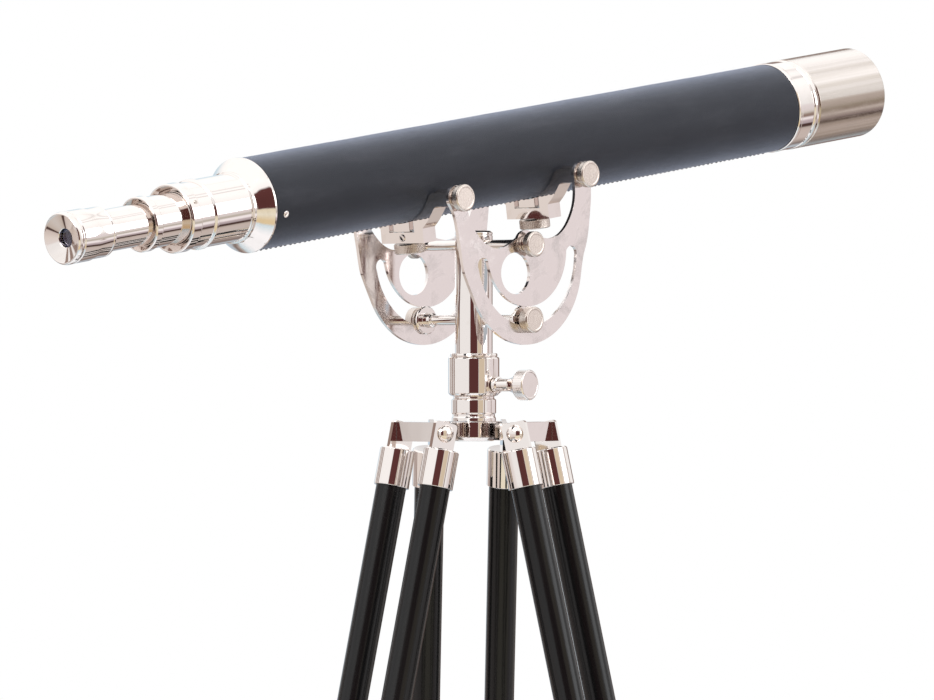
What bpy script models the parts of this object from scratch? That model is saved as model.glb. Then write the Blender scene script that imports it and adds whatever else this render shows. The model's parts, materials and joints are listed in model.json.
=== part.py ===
"""Refracting telescope with nested draw tubes, on an altazimuth yoke and a tripod of twin-rod legs.

Units are metres, +Z is up and the feet stand on Z = 0. The origin is the middle of the whole
object's footprint box. The objective points towards +X +Y and is pitched up.
"""
import math

import bmesh
import bpy
from mathutils import Matrix, Vector

# ---------------------------------------------------------------- driving dimensions
GAP = 0.0003                        # clearance kept between touching pieces

AXIS_X, AXIS_Y = -0.0116, -0.0154   # the tripod's vertical axis, seen from the origin
HINGE_Z = 1.3105                    # height of the leg hinges above the floor
LEG_AZIMUTHS = (90, 210, 330)       # degrees from +X
LEG_TILT = math.radians(12.5)
HINGE_RADIUS = 0.0525
PAN = math.radians(40.5)
PITCH = math.radians(8.5)

# Leg, measured along it from its hinge
ROD_RADIUS = 0.0127
TWIN_OFFSET = 0.0318                # of each upper rod from the leg's middle plane
FERRULE_RADIUS = 0.0148
FERRULE_TOP, FERRULE_BOTTOM = 0.014, 0.046
EAR_WIDTH, EAR_TOP, EAR_THICK = 0.022, 0.0095, 0.004
BRACKET_TOP, BRACKET_BOTTOM = 0.745, 0.790
BRACKET_WALL = 0.0026
CLAMP_AT = 0.7675
LOWER_ROD_TOP = 0.660
LEG_LENGTH = HINGE_Z / math.cos(LEG_TILT)
FOOT_LENGTH = 0.048
FLOOR_DEPTH = 0.1                   # of the block that trims the feet level

# Hub, collar and post, heights above the leg hinges
HUB_BOTTOM, HUB_TOP = -0.0067, 0.0095
CROSSBAR_HALF = 0.0285
CROSSBAR_DEPTH = 0.013
COLLAR_TOP = 0.067
POST_RADIUS = 0.0158
POST_BOTTOM, POST_TOP = 0.0145, 0.170
PAN_LOCK_Z = 0.0405
LOCK_BAR_Z = 0.095
PIVOT_Z = 0.158

# Yoke, in the plates' own plane: u along the telescope, v up, from the pivot
PLATE_INNER, PLATE_THICK = 0.0580, 0.003
SLOT_OUTER_RADIUS, SLOT_OUTER_V = 0.0598, -0.0085
SLOT_INNER_RADIUS, SLOT_INNER_V = 0.048, -0.004
SLOT_FROM, SLOT_TO = -175.5, -9.5
RIM_U, RIM_V, RIM_RADIUS = -0.0035, -0.015, 0.0685
HOLE_RADIUS, HOLE_U, HOLE_V = 0.0174, -0.0165, -0.0222
HORN_U, HORN_V, HORN_RADIUS = 0.0764, 0.049, 0.0105
BAR_RADIUS = 0.0042
STUD_RADIUS = 0.003
SADDLE_DEPTH = 0.015
SADDLE_BOTTOM, NOTCH_BOTTOM = 0.0128, 0.022
SADDLE_HALF, NOTCH_HALF, FOOT_HALF = 0.0245, 0.0145, 0.0095
HORN_KNOB_RADIUS, HORN_KNOB_LENGTH, HORN_KNOB_NECK = 0.0112, 0.0100, 0.0034

# Telescope: positions along its axis from the pivot, towards the objective
AXIS_V = 0.0687                     # the axis above the pivot
LEATHER_RADIUS = 0.0384
TUBE_RADIUS, TUBE_WALL = 0.0372, 0.0015
EYECUP_FACE, EYECUP_END = -0.4652, -0.423
DRAW_1_RADIUS, DRAW_1_END = 0.017, -0.290
DRAW_2_RADIUS, DRAW_2_FACE, DRAW_2_END = 0.021, -0.381, -0.240
NECK_RADIUS, NECK_FACE = 0.028, -0.346
BELL_START, BELL_END = -0.276, -0.262
LEATHER_END = 0.3845
CELL_END = 0.411
SHADE_END = 0.500

SIDES = (("right", 1), ("left", -1))
ENDS = (("front", 1), ("rear", -1))
ROUND = 24                          # segments of the telescope's turned pieces
SMALL = 12                          # segments of knobs, rods and bars

# ---------------------------------------------------------------- scene and helpers
for old in list(bpy.data.objects):
    bpy.data.objects.remove(old, do_unlink=True)

PARTS = bpy.data.collections.new("telescope_on_tripod")
CUTTERS = bpy.data.collections.new("cutters")
bpy.context.scene.collection.children.link(PARTS)
bpy.context.scene.collection.children.link(CUTTERS)


def make_material(name, colour, roughness, metallic):
    material = bpy.data.materials.new(name)
    material.use_nodes = True
    shader = material.node_tree.nodes["Principled BSDF"]
    shader.inputs["Base Color"].default_value = (*colour, 1.0)
    shader.inputs["Roughness"].default_value = roughness
    shader.inputs["Metallic"].default_value = metallic
    return material


NICKEL = make_material("polished_nickel", (0.80, 0.74, 0.70), 0.10, 1.0)
SATIN = make_material("satin_nickel", (0.76, 0.71, 0.68), 0.32, 1.0)
BRUSHED = make_material("brushed_nickel", (0.70, 0.66, 0.63), 0.28, 1.0)
LEATHER = make_material("black_leather", (0.020, 0.021, 0.026), 0.50, 0.0)
WOOD = make_material("black_lacquered_wood", (0.008, 0.008, 0.010), 0.22, 0.0)
GLASS = make_material("glass", (0.85, 0.90, 0.92), 0.02, 0.0)


def frame(name, parent, location, rotation=(0.0, 0.0, 0.0)):
    """An empty that carries the pieces of one assembly."""
    empty = bpy.data.objects.new(name, None)
    PARTS.objects.link(empty)
    empty.parent = parent
    empty.location = location
    empty.rotation_euler = rotation
    return empty


def place(name, mesh, parent, location=(0, 0, 0), rotation=(0, 0, 0), material=None):
    obj = bpy.data.objects.new(name, mesh)
    PARTS.objects.link(obj)
    obj.parent = parent
    obj.location = location
    obj.rotation_euler = rotation
    if material and not mesh.materials:
        mesh.materials.append(material)
    return obj


def smooth(obj, angle=30):
    obj.data.shade_smooth()
    obj.data.set_sharp_from_angle(angle=math.radians(angle))
    return obj


def turned(name, profile, parent, material, location=(0, 0, 0), rotation=(0, 0, 0),
           segments=SMALL, ring=False):
    """A solid turned about its local Z from (radius, height) points, top to bottom outside."""
    mesh = bpy.data.meshes.new(name)
    points = [(radius, 0.0, height) for radius, height in profile]
    edges = [(i, i + 1) for i in range(len(points) - 1)]
    if ring:
        edges.append((len(points) - 1, 0))
    mesh.from_pydata(points, edges, [])
    obj = place(name, mesh, parent, location, rotation, material)
    screw = obj.modifiers.new("turn", "SCREW")
    screw.axis = "Z"
    screw.angle = math.tau
    screw.steps = screw.render_steps = segments
    screw.use_merge_vertices = True
    screw.merge_threshold = 0.00001
    screw.use_smooth_shade = True
    return obj


def solid_mesh(name, shapes):
    """A mesh of cylinders and boxes: (kind, size, matrix), all in one bmesh."""
    bm = bmesh.new()
    for kind, size, matrix in shapes:
        if kind == "cylinder":
            bmesh.ops.create_cone(bm, cap_ends=True, segments=SMALL, radius1=size[0],
                                  radius2=size[0], depth=size[1], matrix=matrix)
        else:
            scaled = matrix @ Matrix.Diagonal((*size, 1.0))
            bmesh.ops.create_cube(bm, size=1.0, matrix=scaled)
    mesh = bpy.data.meshes.new(name)
    bm.to_mesh(mesh)
    bm.free()
    return mesh


def combine(obj, operation, shapes):
    """Boolean each shape onto or out of obj; shapes are given in obj's parent frame."""
    for index, shape in enumerate(shapes):
        mesh = solid_mesh(f"{obj.name}_tool", [shape])
        tool = bpy.data.objects.new(f"{obj.name}_{operation.lower()}_{index}", mesh)
        CUTTERS.objects.link(tool)
        tool.parent = obj.parent
        tool.hide_render = True
        tool.display_type = "WIRE"
        boolean = obj.modifiers.new(f"{operation.lower()}_{index}", "BOOLEAN")
        boolean.operation = operation
        boolean.object = tool
    return obj


def rod_shape(radius, start, end):
    """A cylinder between two points."""
    start, end = Vector(start), Vector(end)
    turn = (end - start).to_track_quat("Z", "Y").to_matrix().to_4x4()
    matrix = Matrix.Translation((start + end) / 2) @ turn
    return ("cylinder", (radius, (end - start).length), matrix)


def box_shape(low, high):
    low, high = Vector(low), Vector(high)
    return ("box", tuple(high - low), Matrix.Translation((low + high) / 2))


def outline_mesh(name, outlines, thickness):
    """Closed 2D outlines, the first outside and the rest holes, extruded about the XY plane."""
    curve = bpy.data.curves.new(name, "CURVE")
    curve.dimensions = "2D"
    curve.fill_mode = "BOTH"
    curve.extrude = thickness / 2
    for outline in outlines:
        spline = curve.splines.new("POLY")
        spline.points.add(len(outline) - 1)
        for point, (x, y) in zip(spline.points, outline):
            point.co = (x, y, 0.0, 1.0)
        spline.use_cyclic_u = True
    temporary = bpy.data.objects.new(name, curve)
    CUTTERS.objects.link(temporary)
    evaluated = temporary.evaluated_get(bpy.context.evaluated_depsgraph_get())
    mesh = bpy.data.meshes.new_from_object(evaluated)
    bpy.data.objects.remove(temporary)
    bm = bmesh.new()
    bm.from_mesh(mesh)
    bmesh.ops.remove_doubles(bm, verts=bm.verts, dist=0.00001)
    bm.to_mesh(mesh)
    bm.free()
    return mesh


def arc(centre, radius, start, end, steps):
    """Points on an arc, angles in degrees, both ends included."""
    angles = [math.radians(start + (end - start) * i / steps) for i in range(steps + 1)]
    return [(centre[0] + radius * math.cos(a), centre[1] + radius * math.sin(a)) for a in angles]


def mirrored(half):
    """Close a half outline, drawn at +X, with its mirror image."""
    return half + [(-x, y) for x, y in reversed(half) if abs(x) > 1e-9]


# ---------------------------------------------------------------- frames
ROOT = frame("root", None, (AXIS_X, AXIS_Y, 0.0))
HEAD = frame("head", ROOT, (0.0, 0.0, HINGE_Z))
TURNTABLE = frame("turntable", HEAD, (0.0, 0.0, 0.0), (0.0, 0.0, PAN))
YOKE = frame("yoke", TURNTABLE, (0.0, 0.0, PIVOT_Z), (0.0, -PITCH, 0.0))
ALONG_U = (0.0, math.pi / 2, 0.0)   # turns local Z to the telescope's axis
OPTICS = (0.0, 0.0, AXIS_V)


def outward(side):
    """Rotation that turns local Z to the outward side of a plate."""
    return (side * math.pi / 2, 0.0, 0.0)


# ---------------------------------------------------------------- tripod head
def make_hub():
    """Three-armed spider; each arm ends in a crossbar that a leg hinges on."""
    hub = place("hub_spider", solid_mesh("hub_spider", [
        rod_shape(0.0185, (0, 0, HUB_BOTTOM), (0, 0, HUB_TOP))]), HEAD, material=NICKEL)
    for index, degrees in enumerate(LEG_AZIMUTHS):
        turn = Matrix.Rotation(math.radians(degrees), 4, "Z")
        middle = (HUB_TOP + HUB_BOTTOM) / 2
        height = HUB_TOP - HUB_BOTTOM
        arm = ("box", (HINGE_RADIUS - 0.008, 0.016, height - 0.002),
               turn @ Matrix.Translation(((HINGE_RADIUS + 0.008) / 2, 0, middle)))
        crossbar = ("box", (CROSSBAR_DEPTH, 2 * CROSSBAR_HALF, height),
                    turn @ Matrix.Translation((HINGE_RADIUS, 0, middle)))
        combine(hub, "UNION", [arm, crossbar])
        ends = [turn @ Vector((HINGE_RADIUS, y, 0)) for y in (-0.04, 0.04)]
        combine(hub, "DIFFERENCE", [rod_shape(STUD_RADIUS + GAP, *ends)])
    return hub


def make_collar():
    """Socket that the post turns in, stepped and grooved."""
    bore = POST_RADIUS + GAP
    profile = [(bore, COLLAR_TOP), (0.0195, COLLAR_TOP), (0.0215, 0.064), (0.0215, 0.032),
               (0.0172, 0.0305), (0.0172, 0.0295), (0.0183, 0.028), (0.0183, 0.015),
               (0.0172, HUB_TOP + GAP), (bore, HUB_TOP + GAP)]
    collar = turned("collar", profile, HEAD, NICKEL, segments=ROUND, ring=True)
    lock = Matrix.Rotation(-PAN, 4, "Z")
    hole = rod_shape(STUD_RADIUS + GAP, lock @ Vector((0.010, 0, PAN_LOCK_Z)),
                     lock @ Vector((0.030, 0, PAN_LOCK_Z)))
    return combine(collar, "DIFFERENCE", [hole])


def make_pan_lock():
    """Thumb-screw that presses on the post; its local Z points outward."""
    tip = POST_RADIUS + GAP
    profile = [(0, 0.0577), (0.0120, 0.0577), (0.0128, 0.0569), (0.0128, 0.0482),
               (0.0118, 0.0468), (0.0100, 0.0452), (0.0080, 0.0430), (0.0064, 0.0400),
               (0.0054, 0.0370), (0.0054, 0.0262), (0.0070, 0.0256), (0.0070, 0.0222),
               (STUD_RADIUS, 0.0222), (STUD_RADIUS, tip), (0, tip)]
    return turned("pan_lock_screw", profile, HEAD, NICKEL, (0, 0, PAN_LOCK_Z),
                  (0, math.pi / 2, -PAN))


def make_post():
    """Tubular post, closed at the top, with cross holes for its two bars."""
    inner = POST_RADIUS - 0.003
    profile = [(0, POST_TOP), (POST_RADIUS - 0.001, POST_TOP), (POST_RADIUS, POST_TOP - 0.001),
               (POST_RADIUS, POST_BOTTOM), (inner, POST_BOTTOM), (inner, POST_TOP - 0.004),
               (0, POST_TOP - 0.004)]
    post = turned("post", profile, TURNTABLE, NICKEL, segments=ROUND)
    holes = [rod_shape(BAR_RADIUS + GAP, (0, -0.03, z), (0, 0.03, z))
             for z in (PIVOT_Z, LOCK_BAR_Z)]
    return combine(post, "DIFFERENCE", holes)


def make_bars_and_knobs():
    """The pivot bar and the lock bar, each with a knob screwed on either end."""
    face = PLATE_INNER + PLATE_THICK + GAP
    bar_end = face + 0.0078
    washer = PLATE_INNER - GAP
    pivot_profile = [(0, bar_end), (BAR_RADIUS, bar_end), (BAR_RADIUS, -bar_end), (0, -bar_end)]
    lock_profile = [(0, bar_end), (BAR_RADIUS, bar_end), (BAR_RADIUS, washer),
                    (0.012, washer), (0.012, washer - 0.003), (BAR_RADIUS, washer - 0.003)]
    lock_profile += [(radius, -height) for radius, height in reversed(lock_profile)]
    across = (math.pi / 2, 0, 0)
    turned("pivot_bar", pivot_profile, TURNTABLE, NICKEL, (0, 0, PIVOT_Z), across)
    turned("lock_bar", lock_profile, TURNTABLE, NICKEL, (0, 0, LOCK_BAR_Z), across)
    socket = BAR_RADIUS + GAP
    for side_name, side in SIDES:
        for kind, height, radius, length, neck, neck_length in (
                ("pivot_knob", PIVOT_Z, 0.0107, 0.0115, 0.0068, 0.0045),
                ("lock_knob", LOCK_BAR_Z, 0.0110, 0.0100, 0.0098, 0.0012)):
            top = face + length
            profile = [(0, top), (radius - 0.001, top), (radius, top - 0.001),
                       (radius, face + neck_length + 0.0008), (neck, face + neck_length),
                       (neck, face), (socket, face), (socket, bar_end + GAP), (0, bar_end + GAP)]
            turned(f"{kind}_{side_name}", profile, TURNTABLE, SATIN, (0, 0, height),
                   outward(side))


# ---------------------------------------------------------------- yoke
def plate_outline():
    """Anchor-shaped plate: outer rim, horn tips, concave top edge and a boss at the pivot."""
    rim = arc((RIM_U, RIM_V), RIM_RADIUS, -160, -20, 20)
    front = [(0.0672, -0.020), (0.0725, -0.010), (0.0765, 0.0), (0.0800, 0.012), (0.0840, 0.028)]
    front += arc((HORN_U, HORN_V), HORN_RADIUS, -15, 185, 10)
    throat = [(0.0655, 0.036), (0.0625, 0.025), (0.0570, 0.016), (0.0495, 0.008),
              (0.0400, 0.0025), (0.0300, 0.0010), (0.0200, 0.0030)]
    boss = arc((0, 0), 0.0118, 35, 145, 8)
    rear = arc((-HORN_U, HORN_V), HORN_RADIUS, -5, 195, 10)
    rear += [(-0.0811, 0.034), (-0.0788, 0.0127), (-0.0775, -0.0088), (-0.0745, -0.020)]
    return rim + front + throat + boss + [(-u, v) for u, v in reversed(throat)] + rear


def end_cap(start, end):
    """Points of the half circle between two points, without the points themselves."""
    centre = (Vector(start) + Vector(end)) / 2
    spoke = Vector(start) - centre
    angle = math.degrees(math.atan2(spoke.y, spoke.x))
    return arc(centre, spoke.length, angle, angle + 180, 6)[1:-1]


def slot_outline():
    """Crescent slot that the lock bar runs in, widest in the middle, with round ends."""
    outer = arc((0, SLOT_OUTER_V), SLOT_OUTER_RADIUS, SLOT_FROM, SLOT_TO, 18)
    inner = arc((0, SLOT_INNER_V), SLOT_INNER_RADIUS, SLOT_TO, SLOT_FROM, 16)
    return outer + end_cap(outer[-1], inner[0]) + inner + end_cap(inner[-1], outer[0])


def hole_outline(centre, radius, steps):
    return arc(centre, radius, 0, 360, steps)[:-1]


def make_plates():
    holes = [slot_outline(), hole_outline((HOLE_U, HOLE_V), HOLE_RADIUS, 24),
             hole_outline((0, 0), BAR_RADIUS + GAP, SMALL)]
    holes += [hole_outline((end * HORN_U, HORN_V), STUD_RADIUS + GAP, 12) for _, end in ENDS]
    mesh = outline_mesh("yoke_plate", [plate_outline()] + holes, PLATE_THICK)
    for side_name, side in SIDES:
        middle = side * (PLATE_INNER + PLATE_THICK / 2)
        place(f"yoke_plate_{side_name}", mesh, YOKE, (0, -middle, 0), (math.pi / 2, 0, 0), SATIN)


def saddle_outline():
    """Base bar with a notch, and two arms that follow the barrel and rise to the bosses."""
    inner = LEATHER_RADIUS + 0.0005
    boss_end = PLATE_INNER - GAP
    start = math.degrees(math.asin(NOTCH_HALF / inner))
    end = math.degrees(math.acos((AXIS_V - 0.056) / inner))
    half = [(SADDLE_HALF, SADDLE_BOTTOM), (SADDLE_HALF, 0.0250), (0.0307, 0.0305),
            (0.0365, 0.0372), (0.0405, 0.0415), (boss_end, 0.0415), (boss_end, 0.056)]
    half += arc((0, AXIS_V), inner, -90 + end, -90 + start, 8)
    half.append((NOTCH_HALF, NOTCH_BOTTOM))
    return mirrored(half)


def foot_outline():
    """Block under the barrel, hollowed to its round."""
    radius = LEATHER_RADIUS + GAP
    reach = math.degrees(math.asin(FOOT_HALF / radius))
    bottom = NOTCH_BOTTOM + GAP
    return [(-FOOT_HALF, bottom), (FOOT_HALF, bottom)] + arc(
        (0, AXIS_V), radius, -90 + reach, -90 - reach, 8)


def make_saddles():
    """Cradles between the horns, the blocks on the barrel, and their screws."""
    saddle_mesh = outline_mesh("saddle", [saddle_outline()], SADDLE_DEPTH)
    foot_mesh = outline_mesh("barrel_foot", [foot_outline()], SADDLE_DEPTH)
    upright = (math.pi / 2, 0, math.pi / 2)
    hole = STUD_RADIUS + GAP
    for end_name, end in ENDS:
        u = end * HORN_U
        saddle = place(f"saddle_{end_name}", saddle_mesh, YOKE, (u, 0, 0), upright, NICKEL)
        holes = [rod_shape(hole, (u, side * 0.043, HORN_V), (u, side * 0.060, HORN_V))
                 for _, side in SIDES]
        holes.append(rod_shape(hole, (u, 0, 0.005), (u, 0, 0.024)))
        combine(saddle, "DIFFERENCE", holes)
        foot = place(f"barrel_foot_{end_name}", foot_mesh, YOKE, (u, 0, 0), upright, NICKEL)
        combine(foot, "DIFFERENCE", [rod_shape(hole, (u, 0, 0.020), (u, 0, 0.0285))])

        base = SADDLE_BOTTOM - GAP
        screw = [(0, 0.028), (STUD_RADIUS, 0.028), (STUD_RADIUS, base), (0.0122, base),
                 (0.013, base - 0.0009), (0.013, base - 0.0079), (0.0122, base - 0.0087),
                 (0, base - 0.0087)]
        turned(f"saddle_screw_{end_name}", screw, YOKE, SATIN, (u, 0, 0))

        face = PLATE_INNER + PLATE_THICK + GAP
        top, rim, neck = face + HORN_KNOB_LENGTH, HORN_KNOB_RADIUS, face + HORN_KNOB_NECK
        knob = [(0, top), (rim - 0.001, top), (rim, top - 0.001), (rim, neck + 0.0008),
                (0.0078, neck), (0.0078, face), (STUD_RADIUS, face), (STUD_RADIUS, 0.0445),
                (0, 0.0445)]
        for side_name, side in SIDES:
            turned(f"horn_knob_{end_name}_{side_name}", knob, YOKE, SATIN,
                   (u, 0, HORN_V), outward(side))


# ---------------------------------------------------------------- telescope
def make_barrel():
    tube_start, tube_end = BELL_END + GAP, CELL_END - 0.0113
    inner = TUBE_RADIUS - TUBE_WALL
    turned("barrel_tube", [(TUBE_RADIUS, tube_end), (TUBE_RADIUS, tube_start),
                           (inner, tube_start), (inner, tube_end)],
           YOKE, NICKEL, OPTICS, ALONG_U, ROUND, ring=True)
    skin = TUBE_RADIUS + GAP
    turned("leather_cover", [(LEATHER_RADIUS, LEATHER_END - GAP), (LEATHER_RADIUS, tube_start),
                             (skin, tube_start), (skin, LEATHER_END - GAP)],
           YOKE, LEATHER, OPTICS, ALONG_U, ROUND, ring=True)


def make_rear_bell():
    """Flared bell and neck; a spigot goes inside the barrel and a lip guides draw tube 2."""
    spigot = TUBE_RADIUS - TUBE_WALL - GAP
    bore = DRAW_2_RADIUS + GAP
    profile = [(spigot, -0.240), (spigot, BELL_END), (0.0392, BELL_END), (0.0392, BELL_END - 0.002),
               (0.0385, BELL_END - 0.0026), (0.0345, -0.2695), (NECK_RADIUS + 0.0012, BELL_START),
               (NECK_RADIUS + 0.0012, BELL_START - 0.003), (NECK_RADIUS, BELL_START - 0.004),
               (NECK_RADIUS, -0.313), (NECK_RADIUS + 0.001, -0.315), (NECK_RADIUS + 0.001, -0.318),
               (NECK_RADIUS - 0.0006, -0.320), (NECK_RADIUS - 0.0006, -0.336),
               (NECK_RADIUS + 0.0003, -0.338), (NECK_RADIUS + 0.0003, NECK_FACE + 0.001),
               (NECK_RADIUS - 0.001, NECK_FACE), (bore, NECK_FACE), (bore, -0.334),
               (0.0255, -0.332), (0.0255, -0.282), (0.0335, -0.266), (0.0335, -0.240)]
    turned("rear_bell", profile, YOKE, NICKEL, OPTICS, ALONG_U, ROUND, ring=True)


def make_draw_tubes():
    """Two nested tubes; each ends at the rear in a lip that guides the next."""
    lip, bore = DRAW_2_RADIUS + 0.0015, DRAW_1_RADIUS + GAP
    inner = DRAW_2_RADIUS - 0.0015
    turned("draw_tube_2", [(DRAW_2_RADIUS, DRAW_2_END), (DRAW_2_RADIUS, DRAW_2_FACE + 0.008),
                           (lip, DRAW_2_FACE + 0.007), (lip, DRAW_2_FACE + 0.001),
                           (lip - 0.001, DRAW_2_FACE), (bore, DRAW_2_FACE),
                           (bore, DRAW_2_FACE + 0.010), (inner, DRAW_2_FACE + 0.011),
                           (inner, DRAW_2_END)],
           YOKE, NICKEL, OPTICS, ALONG_U, ROUND, ring=True)
    seat, stop = DRAW_1_RADIUS - 0.0012, DRAW_1_RADIUS - 0.004
    tube_start = EYECUP_END - 0.016
    turned("draw_tube_1", [(DRAW_1_RADIUS, DRAW_1_END), (DRAW_1_RADIUS, tube_start),
                           (seat, tube_start), (seat, DRAW_1_END - 0.012),
                           (stop, DRAW_1_END - 0.012), (stop, DRAW_1_END - 0.010),
                           (seat, DRAW_1_END - 0.010), (seat, DRAW_1_END)],
           YOKE, NICKEL, OPTICS, ALONG_U, ROUND, ring=True)
    lens = lens_profile(seat - GAP, DRAW_1_END - 0.0095, 0.002, 0.0015)
    turned("erector_lens", lens, YOKE, GLASS, OPTICS, ALONG_U, 24)


def make_eyecup():
    """Eyepiece cap with a dished face; it screws over draw tube 1 and holds the eye lens."""
    socket = DRAW_1_RADIUS + GAP
    bore, stop = 0.0092, EYECUP_FACE + 0.0068
    profile = [(socket, EYECUP_END), (0.0196, EYECUP_END), (0.0204, EYECUP_END - 0.0008),
               (0.0204, EYECUP_END - 0.016), (0.0212, EYECUP_END - 0.019),
               (0.0212, EYECUP_FACE + 0.0076), (0.0206, EYECUP_FACE + 0.0066),
               (0.0212, EYECUP_FACE + 0.0054), (0.0214, EYECUP_FACE + 0.0036),
               (0.0209, EYECUP_FACE + 0.0012), (0.0198, EYECUP_FACE),
               (0.0076, EYECUP_FACE + 0.0048), (0.0076, stop), (bore, stop),
               (bore, EYECUP_END - 0.017), (socket, EYECUP_END - 0.0163)]
    turned("eyecup", profile, YOKE, NICKEL, OPTICS, ALONG_U, ROUND, ring=True)
    lens = lens_profile(bore - GAP, stop + GAP, 0.0015, 0.001)
    turned("eye_lens", lens, YOKE, GLASS, OPTICS, ALONG_U, SMALL)


def lens_profile(radius, start, edge, bulge):
    """Biconvex lens from its rear face at start: half profile, front to rear."""
    steps = 4
    front = [(radius * i / steps, start + edge + 2 * bulge - bulge * (i / steps) ** 2)
             for i in range(steps + 1)]
    rear = [(radius * i / steps, start + bulge * (i / steps) ** 2) for i in range(steps, -1, -1)]
    return front + rear


def make_objective():
    """Cell over the barrel's end, its lens, and the open sunshade screwed to its front."""
    sleeve = TUBE_RADIUS + GAP
    seat, stop = 0.0335, 0.0315
    profile = [(seat, CELL_END), (0.0388, CELL_END), (0.0394, CELL_END - 0.001),
               (0.0394, CELL_END - 0.0025), (0.0383, CELL_END - 0.0035),
               (0.0394, CELL_END - 0.0045), (0.0394, CELL_END - 0.006),
               (0.0386, CELL_END - 0.007), (0.0392, CELL_END - 0.008),
               (0.0392, LEATHER_END), (sleeve, LEATHER_END), (sleeve, CELL_END - 0.011),
               (stop, CELL_END - 0.011), (stop, CELL_END - 0.009), (seat, CELL_END - 0.009)]
    turned("objective_cell", profile, YOKE, NICKEL, OPTICS, ALONG_U, ROUND, ring=True)
    lens = lens_profile(seat - GAP, CELL_END - 0.0088, 0.003, 0.0025)
    turned("objective_lens", lens, YOKE, GLASS, OPTICS, ALONG_U, ROUND)
    start = CELL_END + GAP
    shade = [(0.0388, SHADE_END), (0.0396, SHADE_END - 0.001), (0.0396, start + 0.001),
             (0.0388, start), (0.0340, start), (0.0340, start + 0.003),
             (0.0380, start + 0.004), (0.0380, SHADE_END)]
    turned("sunshade", shade, YOKE, BRUSHED, OPTICS, ALONG_U, ROUND, ring=True)


# ---------------------------------------------------------------- legs
def make_ferrules(number, leg):
    """Cups on the upper rods' ends, each with an ear beside the hub's crossbar."""
    ear_inner = CROSSBAR_HALF + GAP
    for side_name, side in SIDES:
        y = side * TWIN_OFFSET
        cup = rod_shape(FERRULE_RADIUS, (0, y, -FERRULE_BOTTOM), (0, y, -FERRULE_TOP))
        ferrule = place(f"leg_{number}_ferrule_{side_name}",
                        solid_mesh("ferrule", [cup]), leg, material=NICKEL)
        ys = sorted((side * ear_inner, side * (ear_inner + EAR_THICK)))
        ear = box_shape((-EAR_WIDTH / 2, ys[0], -FERRULE_TOP - 0.001), (EAR_WIDTH / 2, ys[1], EAR_TOP))
        combine(ferrule, "UNION", [ear])
        combine(ferrule, "DIFFERENCE", [
            rod_shape(ROD_RADIUS + GAP, (0, y, -FERRULE_BOTTOM - 0.01), (0, y, -FERRULE_TOP - 0.004)),
            rod_shape(STUD_RADIUS + GAP, (0, side * 0.02, 0), (0, side * 0.04, 0))])


def make_upper_leg(number, leg):
    """Hinge bolt, twin rods, and the bracket that joins them and guides the lower rod."""
    reach = CROSSBAR_HALF + GAP + EAR_THICK + GAP
    head = [(0, reach + 0.0045), (0.0035, reach + 0.0041), (0.0062, reach + 0.0026),
            (0.0074, reach), (STUD_RADIUS, reach)]
    bolt = head + [(radius, -height) for radius, height in reversed(head)]
    turned(f"leg_{number}_hinge_bolt", bolt, leg, NICKEL, (0, 0, 0), (math.pi / 2, 0, 0))

    rod_top, rod_bottom = FERRULE_TOP + 0.0043, BRACKET_BOTTOM - 0.008
    for side_name, side in SIDES:
        shape = rod_shape(ROD_RADIUS, (0, 0, -rod_bottom), (0, 0, -rod_top))
        smooth(place(f"leg_{number}_upper_rod_{side_name}", solid_mesh("upper_rod", [shape]),
                     leg, (0, side * TWIN_OFFSET, 0), material=WOOD))

    cup = ROD_RADIUS + GAP + BRACKET_WALL
    bore = ROD_RADIUS + GAP
    sleeve = rod_shape(cup, (0, 0, -BRACKET_BOTTOM), (0, 0, -BRACKET_TOP))
    bracket = place(f"leg_{number}_bracket", solid_mesh("bracket", [sleeve]), leg, material=NICKEL)
    web = box_shape((-0.006, -TWIN_OFFSET, -BRACKET_BOTTOM + 0.004),
                    (0.006, TWIN_OFFSET, -BRACKET_TOP - 0.004))
    cups = [rod_shape(cup, (0, y, -BRACKET_BOTTOM), (0, y, -BRACKET_TOP))
            for y in (-TWIN_OFFSET, TWIN_OFFSET)]
    combine(bracket, "UNION", [web] + cups)
    holes = [rod_shape(bore, (0, y, -rod_bottom - GAP), (0, y, -BRACKET_TOP + 0.01))
             for y in (-TWIN_OFFSET, TWIN_OFFSET)]
    holes.append(rod_shape(bore, (0, 0, -BRACKET_BOTTOM - 0.01), (0, 0, -BRACKET_TOP + 0.01)))
    holes.append(rod_shape(STUD_RADIUS + GAP, (0.008, 0, -CLAMP_AT), (0.030, 0, -CLAMP_AT)))
    combine(bracket, "DIFFERENCE", holes)

    tip = ROD_RADIUS + GAP
    clamp = [(0, 0.0335), (0.0088, 0.0335), (0.0098, 0.0325), (0.0098, 0.0265),
             (0.0088, 0.0255), (0.0045, 0.0235), (0.0045, cup + 2 * GAP),
             (STUD_RADIUS, cup + 2 * GAP), (STUD_RADIUS, tip), (0, tip)]
    turned(f"leg_{number}_clamp_screw", clamp, leg, SATIN, (0, 0, -CLAMP_AT),
           (0, math.pi / 2, 0))


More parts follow.
